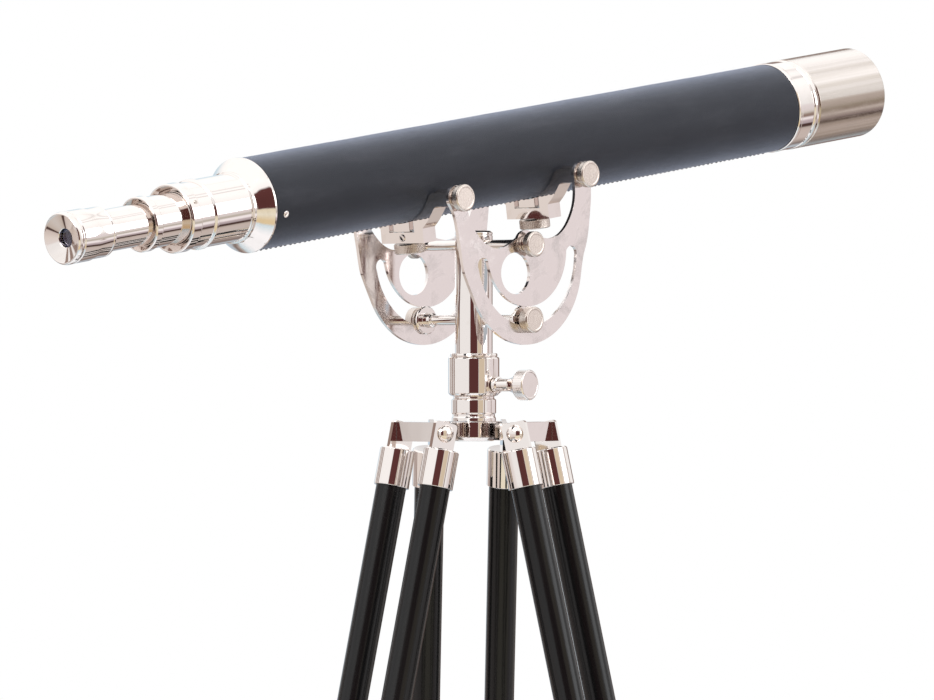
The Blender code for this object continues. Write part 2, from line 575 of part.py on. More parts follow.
def make_lower_leg(number, leg):
    """Sliding lower rod and the tapered foot that covers its end."""
    foot_top = LEG_LENGTH - FOOT_LENGTH
    rod_bottom = foot_top + 0.012
    shape = rod_shape(ROD_RADIUS, (0, 0, -rod_bottom), (0, 0, -LOWER_ROD_TOP))
    smooth(place(f"leg_{number}_lower_rod", solid_mesh("lower_rod", [shape]), leg, material=WOOD))
    bore = ROD_RADIUS + GAP
    below = LEG_LENGTH + 0.006
    profile = [(bore, -foot_top), (FERRULE_RADIUS, -foot_top), (FERRULE_RADIUS, -foot_top - 0.020),
               (0.0070, -LEG_LENGTH + 0.004), (0.0055, -below), (0, -below),
               (0, -rod_bottom - GAP), (bore, -rod_bottom - GAP)]
    foot = turned(f"leg_{number}_foot", profile, leg, NICKEL, ring=True)
    below_floor = leg.matrix_world.inverted() @ Matrix.Translation((0, 0, -FLOOR_DEPTH / 2))
    combine(foot, "DIFFERENCE", [("box", (1.2, 1.2, FLOOR_DEPTH), below_floor)])


make_hub()
make_collar()
make_pan_lock()
make_post()
make_bars_and_knobs()
make_plates()
make_saddles()
make_barrel()
make_rear_bell()
make_draw_tubes()
make_eyecup()
make_objective()

for leg_number, leg_degrees in enumerate(LEG_AZIMUTHS, start=1):
    azimuth = math.radians(leg_degrees)
    hinge = (HINGE_RADIUS * math.cos(azimuth), HINGE_RADIUS * math.sin(azimuth), 0.0)
    leg_frame = frame(f"leg_{leg_number}", HEAD, hinge, (0.0, -LEG_TILT, azimuth))
    bpy.context.view_layer.update()
    make_ferrules(leg_number, leg_frame)
    make_upper_leg(leg_number, leg_frame)
    make_lower_leg(leg_number, leg_frame)
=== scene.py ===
"""Looks for the telescope on its tripod: finely turned and bevelled pieces built around the CAD.

Each piece stands for one CAD node and rides on that node's body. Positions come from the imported
record's joints; the driving dimensions below repeat the CAD's, in metres.
"""

import json
import math

import bmesh
import bpy
from mathutils import Matrix, Vector


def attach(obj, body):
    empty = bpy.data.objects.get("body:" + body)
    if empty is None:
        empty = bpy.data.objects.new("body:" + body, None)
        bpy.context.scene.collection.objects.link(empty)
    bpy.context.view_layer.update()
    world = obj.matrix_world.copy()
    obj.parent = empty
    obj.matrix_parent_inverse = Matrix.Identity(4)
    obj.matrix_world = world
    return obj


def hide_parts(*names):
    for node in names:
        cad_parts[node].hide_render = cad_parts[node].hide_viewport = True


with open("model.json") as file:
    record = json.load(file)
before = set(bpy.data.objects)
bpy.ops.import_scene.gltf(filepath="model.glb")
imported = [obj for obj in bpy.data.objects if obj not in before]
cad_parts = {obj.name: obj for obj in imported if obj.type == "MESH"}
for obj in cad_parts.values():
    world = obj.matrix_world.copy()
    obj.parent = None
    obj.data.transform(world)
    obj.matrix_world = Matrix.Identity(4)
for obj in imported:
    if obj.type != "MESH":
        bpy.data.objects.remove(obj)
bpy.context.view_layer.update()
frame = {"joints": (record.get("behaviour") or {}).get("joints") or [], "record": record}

# ---- dimensions, as in the CAD
GAP = 0.0003
ROD_RADIUS, TWIN_OFFSET = 0.0127, 0.0318
FERRULE_RADIUS, FERRULE_TOP, FERRULE_BOTTOM = 0.0148, 0.014, 0.046
EAR_WIDTH, EAR_TOP, EAR_THICK = 0.022, 0.0095, 0.004
BRACKET_TOP, BRACKET_BOTTOM, BRACKET_WALL = 0.745, 0.79, 0.0026
CLAMP_AT = 0.7675
LOWER_ROD_TOP = 0.66
FOOT_LENGTH = 0.048
HINGE_RADIUS = 0.0525
HUB_BOTTOM, HUB_TOP = -0.0067, 0.0095
CROSSBAR_HALF, CROSSBAR_DEPTH = 0.0285, 0.013
COLLAR_TOP = 0.067
POST_RADIUS, POST_BOTTOM, POST_TOP = 0.0158, 0.0145, 0.17
PAN_LOCK_Z, LOCK_BAR_Z, PIVOT_Z = 0.0405, 0.095, 0.158
PLATE_INNER, PLATE_THICK = 0.058, 0.003
SLOT_OUTER_RADIUS, SLOT_OUTER_V = 0.0598, -0.0085
SLOT_INNER_RADIUS, SLOT_INNER_V = 0.048, -0.004
SLOT_FROM, SLOT_TO = -175.5, -9.5
RIM_U, RIM_V, RIM_RADIUS = -0.0035, -0.015, 0.0685
HOLE_RADIUS, HOLE_U, HOLE_V = 0.0174, -0.0165, -0.0222
HORN_U, HORN_V, HORN_RADIUS = 0.0764, 0.049, 0.0105
BAR_RADIUS, STUD_RADIUS = 0.0042, 0.003
BAR_BORE, STUD_BORE, ROD_BORE = BAR_RADIUS + GAP, STUD_RADIUS + GAP, ROD_RADIUS + GAP
SADDLE_DEPTH, SADDLE_BOTTOM, NOTCH_BOTTOM = 0.015, 0.0128, 0.022
SADDLE_HALF, NOTCH_HALF, FOOT_HALF = 0.0245, 0.0145, 0.0095
HORN_KNOB_RADIUS, HORN_KNOB_LENGTH, HORN_KNOB_NECK = 0.0112, 0.01, 0.0034
AXIS_V = 0.0687
LEATHER_RADIUS, TUBE_RADIUS, TUBE_WALL = 0.0384, 0.0372, 0.0015
EYECUP_FACE, EYECUP_END = -0.4652, -0.423
DRAW_1_RADIUS, DRAW_1_END = 0.017, -0.29
DRAW_2_RADIUS, DRAW_2_FACE, DRAW_2_END = 0.021, -0.381, -0.24
NECK_RADIUS, NECK_FACE = 0.028, -0.346
BELL_START, BELL_END = -0.276, -0.262
LEATHER_END, CELL_END, SHADE_END = 0.3845, 0.411, 0.5

SIDES = (("right", 1), ("left", -1))
ENDS = (("front", 1), ("rear", -1))

# ---- frames, from the joints
JOINTS = {joint["name"]: joint for joint in frame["joints"]}
BODY_OF = {node: body for body, nodes in frame["record"]["behaviour"]["bodies"].items()
           for node in nodes}
UP = Vector((0, 0, 1))


def axes(origin, x, y, z):
    matrix = Matrix((x, y, z)).transposed().to_4x4()
    matrix.translation = origin
    return matrix


def move(x=0.0, y=0.0, z=0.0):
    return Matrix.Translation((x, y, z))


def spin(degrees, axis):
    return Matrix.Rotation(math.radians(degrees), 4, axis)


OUT = Vector(JOINTS["tilt"]["axis"]).normalized()
ALONG = Vector(JOINTS["draw_2_slide"]["axis"]).normalized()
PIVOT = Vector(JOINTS["tilt"]["pos_m"])
HINGE_Z = JOINTS["leg_1_hinge"]["pos_m"][2]
AXIS = Vector((PIVOT.x, PIVOT.y, HINGE_Z))
HEAD = move(*AXIS)
LEVEL = UP.cross(OUT)
TURNTABLE = axes(AXIS, LEVEL, -OUT, UP)
YOKE = axes(PIVOT, ALONG, -OUT, ALONG.cross(-OUT))
OPTICS = YOKE @ move(z=AXIS_V) @ spin(90, "Y")
LOCK_AIM = Vector(JOINTS["pan_lock_turn"]["axis"]).normalized()


def leg_frame(number):
    """Origin at the leg's hinge, Z up the leg, X outward."""
    up_leg = Vector(JOINTS[f"leg_{number}_slide"]["axis"]).normalized()
    hinge = JOINTS[f"leg_{number}_hinge"]
    across = Vector(hinge["axis"]).normalized()
    return axes(Vector(hinge["pos_m"]), across.cross(up_leg), across, up_leg)


# ---- materials
def feed(tree, node, inputs):
    """Give a node its inputs: sockets are linked, the rest are set."""
    for name, value in inputs.items():
        if isinstance(value, bpy.types.NodeSocket):
            tree.links.new(value, node.inputs[name])
        else:
            node.inputs[name].default_value = value


def add(tree, kind, inputs=None, **settings):
    node = tree.nodes.new(kind)
    for name, value in settings.items():
        setattr(node, name, value)
    feed(tree, node, inputs or {})
    return node


def ramp(tree, factor, stops, interpolation="LINEAR"):
    node = add(tree, "ShaderNodeValToRGB", {"Fac": factor})
    node.color_ramp.interpolation = interpolation
    elements = node.color_ramp.elements
    while len(elements) < len(stops):
        elements.new(1.0)
    for element, (position, colour) in zip(elements, stops):
        element.position = position
        element.color = colour if len(colour) == 4 else (*colour, 1.0)
    return node


def span(tree, value, low, high, to_low, to_high):
    node = add(tree, "ShaderNodeMapRange", {"Value": value, "From Min": low, "From Max": high,
                                            "To Min": to_low, "To Max": to_high})
    return node.outputs["Result"]


def math_node(tree, operation, first, second=0.0):
    return add(tree, "ShaderNodeMath", {0: first, 1: second}, operation=operation).outputs[0]


def noise(tree, coords, scale, detail=3.0, stretch=(1, 1, 1), roughness=0.5, distortion=0.0):
    mapped = add(tree, "ShaderNodeMapping", {"Vector": coords, "Scale": stretch})
    node = add(tree, "ShaderNodeTexNoise", {
        "Vector": mapped.outputs[0], "Scale": scale, "Detail": detail, "Roughness": roughness,
        "Distortion": distortion})
    return node.outputs[0]


def mix_colours(tree, share, first, second):
    mixed = add(tree, "ShaderNodeMix", {0: share, 6: first, 7: second}, data_type="RGBA")
    return mixed.outputs[2]


def start_material(name):
    material = bpy.data.materials.new(name)
    material.use_nodes = True
    tree = material.node_tree
    coords = add(tree, "ShaderNodeTexCoord").outputs["Object"]
    return material, tree, tree.nodes["Principled BSDF"], coords


def bump(tree, shader, height, distance, strength=1.0, base=None):
    node = add(tree, "ShaderNodeBump", {"Height": height, "Distance": distance,
                                        "Strength": strength})
    if base:
        feed(tree, node, {"Normal": base.outputs[0]})
    feed(tree, shader, {"Normal": node.outputs[0]})
    return node


def metal(name, clean, stain_and_reflection_tone, rough, stain_rough, hairline, grain=(1, 1, 1), smudge=38.0,
          stain_and_reflection_from=0.54, streaks=None, wave_depth=0.05):
    """Nickel plate: cloudy stains, or long darker streaks that are partly tarnish and partly
    painted reflection bands, hairline scratches and a faint waviness.
    """
    material, tree, shader, coords = start_material(name)
    cloud = noise(tree, coords, smudge, 5.0, roughness=0.62, distortion=0.6)
    fine = noise(tree, coords, 420.0, 2.0)
    lines = noise(tree, coords, 60.0, 3.0, stretch=grain, roughness=0.7)
    # long streaks along the tube: random tarnish tone that also serves as painted reflection bands
    share = noise(tree, coords, streaks[0], 3.0, stretch=streaks[1]) if streaks else cloud
    tint = ramp(tree, share, [(stain_and_reflection_from, clean), (stain_and_reflection_from + 0.22, stain_and_reflection_tone)])
    worn = span(tree, cloud, 0.45, 0.78, rough, stain_rough)
    scratched = span(tree, lines, 0.55, 0.75, 0.0, hairline * 0.5)
    dusted = span(tree, fine, 0.3, 0.8, 0.0, hairline * 0.2)
    total = math_node(tree, "ADD", math_node(tree, "ADD", worn, scratched), dusted)
    feed(tree, shader, {"Base Color": tint.outputs[0], "Roughness": total, "Metallic": 1.0})
    wave = bump(tree, shader, noise(tree, coords, 26.0, 1.0), 0.0006, wave_depth)
    bump(tree, shader, lines, 0.00004, 3.0 * hairline ** 2, wave)
    return material


def leather(name):
    material, tree, shader, coords = start_material(name)
    cells = add(tree, "ShaderNodeTexVoronoi", {"Vector": coords, "Scale": 900.0,
                                               "Randomness": 1.0}, feature="DISTANCE_TO_EDGE")
    creases = span(tree, cells.outputs["Distance"], 0.0, 0.22, 0.0, 1.0)
    patch = noise(tree, coords, 14.0, 4.0, distortion=0.4)
    fine = noise(tree, coords, 1500.0, 3.0)
    rubbed = noise(tree, coords, 60.0, 4.0, stretch=(1, 1, 0.25), roughness=0.65)
    tone = ramp(tree, patch, [(0.25, (0.0042, 0.0042, 0.0054)), (0.55, (0.0062, 0.0061, 0.0078)),
                              (0.8, (0.009, 0.0088, 0.011))])
    worn = mix_colours(tree, span(tree, rubbed, 0.56, 0.8, 0.0, 0.55), tone.outputs[0],
                       (0.024, 0.023, 0.028, 1.0))
    feed(tree, shader, {"Base Color": worn, "Roughness": span(tree, rubbed, 0.3, 0.75, 0.56, 0.4),
                        "Specular IOR Level": 0.3, "Specular Tint": (0.86, 0.88, 1.0, 1.0),
                        "Sheen Weight": 0.8, "Sheen Roughness": 0.38,
                        "Sheen Tint": (0.66, 0.76, 1.0, 1.0)})
    soft = bump(tree, shader, patch, 0.001, 0.2)
    grain = bump(tree, shader, creases, 0.00016, 0.45, soft)
    bump(tree, shader, fine, 0.00008, 0.35, grain)
    return material


def lacquer(name):
    """Black lacquer on turned wood: grain telegraphs through along the rod."""
    material, tree, shader, coords = start_material(name)
    grain = noise(tree, coords, 55.0, 4.0, stretch=(6, 6, 0.22), roughness=0.7)
    dust = noise(tree, coords, 900.0, 2.0)
    patch = noise(tree, coords, 9.0, 3.0, stretch=(1, 1, 0.3))
    tone = ramp(tree, grain, [(0.3, (0.0045, 0.0045, 0.0052)), (0.62, (0.0065, 0.0063, 0.0068)),
                              (0.78, (0.013, 0.0115, 0.011))])
    rough = math_node(tree, "ADD", span(tree, patch, 0.3, 0.7, 0.15, 0.24),
                      span(tree, dust, 0.55, 0.8, 0.0, 0.1))
    feed(tree, shader, {"Base Color": tone.outputs[0], "Roughness": rough,
                        "Specular IOR Level": 0.3})
    ridges = bump(tree, shader, grain, 0.00022, 0.35)
    bump(tree, shader, dust, 0.00003, 0.3, ridges)
    return material


def blackening(name):
    """Matt black paint inside the tubes."""
    material, tree, shader, coords = start_material(name)
    speckle = noise(tree, coords, 700.0, 3.0)
    rings = noise(tree, coords, 45.0, 2.0, stretch=(0.3, 0.3, 12))
    tone = ramp(tree, speckle, [(0.3, (0.012, 0.012, 0.013)), (0.75, (0.024, 0.023, 0.023))])
    feed(tree, shader, {"Base Color": tone.outputs[0],
                        "Roughness": span(tree, rings, 0.3, 0.7, 0.62, 0.8)})
    bump(tree, shader, speckle, 0.0001, 0.4)
    return material


def lens_glass(name, tint):
    """Coated glass: faint dust and polish marks on a clear lens."""
    material, tree, shader, coords = start_material(name)
    dust = noise(tree, coords, 320.0, 4.0, roughness=0.7)
    haze = noise(tree, coords, 22.0, 2.0)
    film = ramp(tree, haze, [(0.3, tint), (0.7, tuple(min(1.0, c * 1.08) for c in tint))])
    feed(tree, shader, {"Base Color": film.outputs[0],
                        "Roughness": span(tree, dust, 0.62, 0.8, 0.015, 0.16),
                        "Transmission Weight": 1.0, "IOR": 1.52, "Coat Weight": 0.5,
                        "Coat Tint": (0.72, 0.66, 0.95, 1.0)})
    bump(tree, shader, dust, 0.00001, 0.2)
    return material


def thread(name):
    material, tree, shader, coords = start_material(name)
    twist = add(tree, "ShaderNodeTexWave", {"Vector": coords, "Scale": 900.0, "Distortion": 1.5},
                bands_direction="DIAGONAL").outputs["Fac"]
    tone = ramp(tree, twist, [(0.2, (0.01, 0.01, 0.013)), (0.9, (0.045, 0.044, 0.05))])
    feed(tree, shader, {"Base Color": tone.outputs[0],
                        "Roughness": span(tree, twist, 0.0, 1.0, 0.75, 0.55)})
    bump(tree, shader, twist, 0.0002, 0.6)
    return material


NICKEL = metal("nickel_mirror", (0.83, 0.775, 0.745), (0.77, 0.71, 0.67), 0.035, 0.085, 0.06,
               grain=(0.4, 0.4, 26))
PLATE = metal("nickel_plate_face", (0.84, 0.785, 0.765), (0.6, 0.56, 0.545), 0.06, 0.21, 0.16,
              grain=(2.2, 1.0, 14), smudge=42.0, stain_and_reflection_from=0.51)
SATIN = metal("nickel_satin", (0.64, 0.57, 0.52), (0.52, 0.45, 0.4), 0.24, 0.34, 0.22,
              grain=(9, 2.0, 2.0), smudge=60.0)
# sunshade: its darker long streaks are partly tarnish and partly painted reflections of the studio
BRUSHED = metal("nickel_brushed", (0.78, 0.725, 0.69), (0.5, 0.435, 0.37), 0.13, 0.2, 0.3,
                grain=(8, 8, 0.25), smudge=30.0, stain_and_reflection_from=0.4, streaks=(75.0, (1, 1, 0.015)))
LEATHER = leather("leather_black")
WOOD = lacquer("lacquer_black")
INSIDE = blackening("tube_blackening")
GLASS = lens_glass("lens_glass", (0.93, 0.96, 0.95))
THREAD = thread("waxed_thread")


# ---- mesh tools
def new_object(name, data):
    obj = bpy.data.objects.new(name, data)
    bpy.context.scene.collection.objects.link(obj)
    return obj


def finished(bm, name):
    """Turn a bmesh into a mesh and free it."""
    mesh = bpy.data.meshes.new(name)
    bm.to_mesh(mesh)
    bm.free()
    return mesh


def arc(centre, radius, start, end, steps):
    """Points on an arc, angles in degrees, both ends included."""
    angles = [math.radians(start + (end - start) * i / steps) for i in range(steps + 1)]
    return [(centre[0] + radius * math.cos(a), centre[1] + radius * math.sin(a)) for a in angles]


def raised(base, points):
    """Profile points whose heights are given from a base height."""
    return [(radius, base + height, *fillet) for radius, height, *fillet in points]


def mirrored(half):
    return half + [(-x, y) for x, y in reversed(half) if abs(x) > 1e-9]


def curved(points, steps=6):
    """A smooth line through the points."""
    padded = [points[0]] + list(points) + [points[-1]]
    line = []
    for i in range(1, len(padded) - 2):
        a, b, c, d = (Vector(p) for p in padded[i - 1:i + 3])
        for step in range(steps):
            t = step / steps
            point = 0.5 * ((2 * b) + (c - a) * t + (2 * a - 5 * b + 4 * c - d) * t * t
                           + (3 * b - a - 3 * c + d) * t ** 3)
            line.append(tuple(point))
    line.append(tuple(points[-1]))
    return line


def filleted(profile, radius, ring):
    """Round a profile's corners; a third number on a point is its own radius."""
    count = len(profile)
    rounded = []
    for i, point in enumerate(profile):
        here = Vector(point[:2])
        wanted = point[2] if len(point) > 2 else radius
        if not ring and i in (0, count - 1) or wanted <= 0:
            rounded.append(tuple(here))
            continue
        before = Vector(profile[i - 1][:2]) - here
        after = Vector(profile[(i + 1) % count][:2]) - here
        angle = before.angle(after)
        turn = math.pi - angle
        if turn < math.radians(14) or min(before.length, after.length) < 1e-6:
            rounded.append(tuple(here))
            continue
        reach = min(wanted / math.tan(angle / 2), 0.45 * before.length, 0.45 * after.length)
        true_radius = reach * math.tan(angle / 2)
        middle = here + (before.normalized() + after.normalized()).normalized() * (
            true_radius / math.sin(angle / 2))
        first = here + before.normalized() * reach - middle
        last = here + after.normalized() * reach - middle
        steps = max(2, math.ceil(math.degrees(turn) / 22))
        sweep = first.angle_signed(last)
        for step in range(steps + 1):
            a = -sweep * step / steps
            rounded.append((middle.x + first.x * math.cos(a) - first.y * math.sin(a),
                            middle.y + first.x * math.sin(a) + first.y * math.cos(a)))
    return rounded


def lathe_mesh(name, profile, steps=96, fillet=0.0004, ring=False, knurl=None):
    """Turn (radius, height) points about Z. A knurl is (low, high, teeth, depth)."""
    points = filleted(profile, fillet, ring)
    if knurl:
        low, high, teeth, depth = knurl
        steps = teeth * 4
        rows = 3
        inner = []
        for a, b in zip(points, points[1:] + points[:1]):
            inner.append(a)
            if abs(a[0] - b[0]) < 1e-6 and abs(a[1] - b[1]) > 0.6 * (high - low):
                inner += [(a[0], a[1] + (b[1] - a[1]) * k / rows) for k in range(1, rows)]
        points = inner
    bm = bmesh.new()
    rings = []
    for radius, height in points:
        if radius < 1e-7:
            rings.append([bm.verts.new((0, 0, height))])
            continue
        loop = []
        for step in range(steps):
            angle = math.tau * step / steps
            r = radius
            if knurl and low <= height <= high and radius > STUD_RADIUS * 2:
                r -= depth * (0.5 - 0.5 * math.cos(teeth * angle))
            loop.append(bm.verts.new((r * math.cos(angle), r * math.sin(angle), height)))
        rings.append(loop)
    pairs = list(zip(rings, rings[1:]))
    if ring:
        pairs.append((rings[-1], rings[0]))
    for first, second in pairs:
        if len(first) == 1 and len(second) == 1:
            continue
        for step in range(steps):
            after = (step + 1) % steps
            corners = [first[step % len(first)], first[after % len(first)],
                       second[after % len(second)], second[step % len(second)]]
            unique = list(dict.fromkeys(corners))
            bm.faces.new(unique)
    bmesh.ops.recalc_face_normals(bm, faces=bm.faces)
    mesh = finished(bm, name)
    mesh.shade_smooth()
    return mesh


def outline_mesh(name, outlines, thickness):
    """Closed 2D outlines, the first outside and the rest holes, extruded about the XY plane."""
    curve = bpy.data.curves.new(name, "CURVE")
    curve.dimensions = "2D"
    curve.fill_mode = "BOTH"
    curve.extrude = thickness / 2
    for outline in outlines:
        spline = curve.splines.new("POLY")
        spline.points.add(len(outline) - 1)
        for point, (x, y) in zip(spline.points, outline):
            point.co = (x, y, 0.0, 1.0)
        spline.use_cyclic_u = True
    temporary = new_object(name, curve)
    evaluated = temporary.evaluated_get(bpy.context.evaluated_depsgraph_get())
    mesh = bpy.data.meshes.new_from_object(evaluated)
    bpy.data.objects.remove(temporary)
    bm = bmesh.new()
    bm.from_mesh(mesh)
    bmesh.ops.remove_doubles(bm, verts=bm.verts, dist=0.00001)
    bmesh.ops.dissolve_limit(bm, angle_limit=math.radians(1), verts=bm.verts, edges=bm.edges)
    bm.to_mesh(mesh)
    bm.free()
    return mesh


def rod(radius, start, end, segments=48):
    """A cylinder between two points, as a mesh."""
    start, end = Vector(start), Vector(end)
    turn = (end - start).to_track_quat("Z", "Y").to_matrix().to_4x4()
    bm = bmesh.new()
    bmesh.ops.create_cone(bm, cap_ends=True, segments=segments, radius1=radius, radius2=radius,
                          depth=(end - start).length,
                          matrix=Matrix.Translation((start + end) / 2) @ turn)
    return finished(bm, "rod")


def block(low, high, turn=Matrix.Identity(4)):
    low, high = Vector(low), Vector(high)
    bm = bmesh.new()
    matrix = turn @ Matrix.Translation((low + high) / 2) @ Matrix.Diagonal((*(high - low), 1))
    bmesh.ops.create_cube(bm, size=1.0, matrix=matrix)
    return finished(bm, "block")


def combined(name, base, joins=(), cuts=()):
    """The base mesh with others joined on and cut away, as one clean mesh."""
    body = new_object(name, base)
    tools = []
    for operation, meshes in (("UNION", joins), ("DIFFERENCE", cuts)):
        for mesh in meshes:
            tool = new_object("tool", mesh)
            tools.append(tool)
            boolean = body.modifiers.new(operation.lower(), "BOOLEAN")
            boolean.operation = operation
            boolean.object = tool
    evaluated = body.evaluated_get(bpy.context.evaluated_depsgraph_get())
    mesh = bpy.data.meshes.new_from_object(evaluated)
    mesh.name = name
    for temporary in [body] + tools:
        bpy.data.objects.remove(temporary)
    return mesh


def piece(name, mesh, matrix, material, body, node=None, bevel=0.0, inner=None, angle=35):
    """Place a mesh, give it its finish, and let it ride on a body in a CAD node's place."""
    obj = new_object(name, mesh)
    obj.matrix_world = matrix
    if not mesh.materials:
        mesh.materials.append(material)
        mesh.shade_smooth()
        if inner:
            mesh.materials.append(inner)
            for face in mesh.polygons:
                radial = Vector((face.center.x, face.center.y, 0)).normalized()
                if face.normal.dot(radial) < -0.9:
                    face.material_index = 1
    if bevel:
        mesh.set_sharp_from_angle(angle=math.radians(angle))
        rounding = obj.modifiers.new("rounding", "BEVEL")
        rounding.width, rounding.segments = bevel, 3
        rounding.limit_method, rounding.miter_outer = "ANGLE", "MITER_ARC"
        rounding.angle_limit = math.radians(angle)
        rounding.use_clamp_overlap = True
    normals = obj.modifiers.new("normals", "WEIGHTED_NORMAL")
    normals.keep_sharp = not bevel
    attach(obj, body)
    if node:
        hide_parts(node)
    return obj


def stand_in(node, mesh, matrix, material, **options):
    """A finer piece in the place of one CAD node."""
    return piece(f"{node}.fine", mesh, matrix, material, BODY_OF[node], node, **options)


def turned(node, profile, steps, fillet, material, matrix=OPTICS, ring=False, inner=None):
    """A lathe-turned stand-in, by default one that lies along the telescope."""
    mesh = lathe_mesh(node, profile, steps, fillet, ring)
    return stand_in(node, mesh, matrix, material, inner=inner)


# ---- tripod head
def slotted_screw(radius, height, slot=0.22):
    """A small cheese-head screw with a slot, standing on Z = 0."""
    head = lathe_mesh("screw", [(0, height), (radius * 0.8, height), (radius, height * 0.6),
                                (radius, -0.0005), (0, -0.0005)], 32, radius * 0.12)
    cut = block((-radius * 2, -radius * slot, height * 0.45),
                (radius * 2, radius * slot, height * 2))
    return combined("screw", head, cuts=[cut])


def make_hub():
    core = lathe_mesh("hub", [(0, HUB_TOP), (0.02, HUB_TOP), (0.02, HUB_BOTTOM + 0.003, 0.001),
                              (0.0165, HUB_BOTTOM, 0.001), (0, HUB_BOTTOM)], 72)
    joins, cuts = [], []
    for number in (1, 2, 3):
        matrix = leg_frame(number)
        outward = (matrix.translation - AXIS).normalized()
        turn = axes(Vector(), outward, UP.cross(outward), UP)
        joins.append(block((0.01, -0.0082, HUB_BOTTOM + 0.001),
                           (HINGE_RADIUS, 0.0082, HUB_TOP - 0.001), turn))
        half = CROSSBAR_DEPTH / 2
        joins.append(block((HINGE_RADIUS - half, -CROSSBAR_HALF, HUB_BOTTOM),
                           (HINGE_RADIUS + half, CROSSBAR_HALF, HUB_TOP), turn))
        ends = [turn @ Vector((HINGE_RADIUS, y, 0)) for y in (-0.04, 0.04)]
        cuts.append(rod(STUD_BORE, *ends))
    mesh = combined("hub", core, joins, cuts)
    stand_in("hub_spider", mesh, HEAD, NICKEL, bevel=0.0011)


def make_collar():
    bore = POST_RADIUS + GAP
    profile = [(bore, COLLAR_TOP), (0.0196, COLLAR_TOP, 0.0006), (0.02, 0.0652, 0.0003),
               (0.0192, 0.0645, 0.0002), (0.021, 0.0636, 0.0004), (0.0215, 0.0626, 0.0004),
               (0.0215, 0.0335, 0.0008), (0.02, 0.0318, 0.0006),
               (0.0172, 0.0308), (0.0172, 0.0292), (0.0188, 0.028, 0.0008),
               (0.0188, 0.017, 0.0008), (0.0178, 0.0158), (0.0178, 0.014),
               (0.0186, 0.0128, 0.0006), (0.0186, HUB_TOP + GAP), (bore, HUB_TOP + GAP)]
    aim = LOCK_AIM
    hole = rod(STUD_BORE, aim * 0.01 + UP * PAN_LOCK_Z, aim * 0.03 + UP * PAN_LOCK_Z)
    mesh = combined("collar", lathe_mesh("collar", profile, 96, ring=True), cuts=[hole])
    stand_in("collar", mesh, HEAD, NICKEL, angle=40)


def make_pan_lock():
    tip = POST_RADIUS + GAP
    profile = [(0, 0.0575), (0.0104, 0.0575, 0.0003), (0.0108, 0.0577, 0.0002),
               (0.0118, 0.0577, 0.0006), (0.0128, 0.0568, 0.0006), (0.0128, 0.0482, 0.001),
               (0.0118, 0.0468, 0.001), (0.01, 0.0452, 0.001), (0.008, 0.043, 0.002),
               (0.0064, 0.04, 0.002), (0.0054, 0.037), (0.0054, 0.0262),
               (0.007, 0.0256, 0.0005), (0.007, 0.0222, 0.0005), (0.006, 0.0219),
               (STUD_RADIUS, 0.0219), (STUD_RADIUS, tip, 0.0006), (0, tip)]
    matrix = HEAD @ move(z=PAN_LOCK_Z) @ axes(Vector(), LOCK_AIM.cross(UP), UP, LOCK_AIM)
    mesh = lathe_mesh("pan_lock", profile, ring=False, knurl=(0.0484, 0.0566, 60, 0.00012))
    stand_in("pan_lock_screw", mesh, matrix, NICKEL)


def make_post():
    radius, bottom, top = POST_RADIUS, POST_BOTTOM, POST_TOP
    inner = radius - 0.003
    profile = [(0, top), (radius - 0.0016, top), (radius, top - 0.0016, 0.001),
               (radius, top - 0.003), (radius - 0.0004, top - 0.0033),
               (radius - 0.0004, top - 0.0038), (radius, top - 0.0041),
               (radius, bottom), (inner, bottom), (inner, top - 0.006),
               (0, top - 0.006)]
    holes = [rod(BAR_BORE, (0, -0.03, z), (0, 0.03, z)) for z in (PIVOT_Z, LOCK_BAR_Z)]
    mesh = combined("post", lathe_mesh("post", profile, 96), cuts=holes)
    stand_in("post", mesh, TURNTABLE, NICKEL)


def knob_profile(face, radius, length, neck, neck_length, bar_end):
    """A turned knob: a neck against the plate, a finely knurled rim and a faintly dished face."""
    top = face + length
    return [(0, top - 0.0002), (radius * 0.74, top - 0.0002), (radius * 0.8, top, 0.0002),
            (radius - 0.001, top, 0.0005), (radius, top - 0.001, 0.0005),
            (radius, face + neck_length + 0.0009, 0.0005), (neck, face + neck_length, 0.0003),
            (neck, face + 0.0004, 0.0003), (neck - 0.0005, face), (BAR_BORE, face),
            (BAR_BORE, bar_end + GAP), (0, bar_end + GAP)]


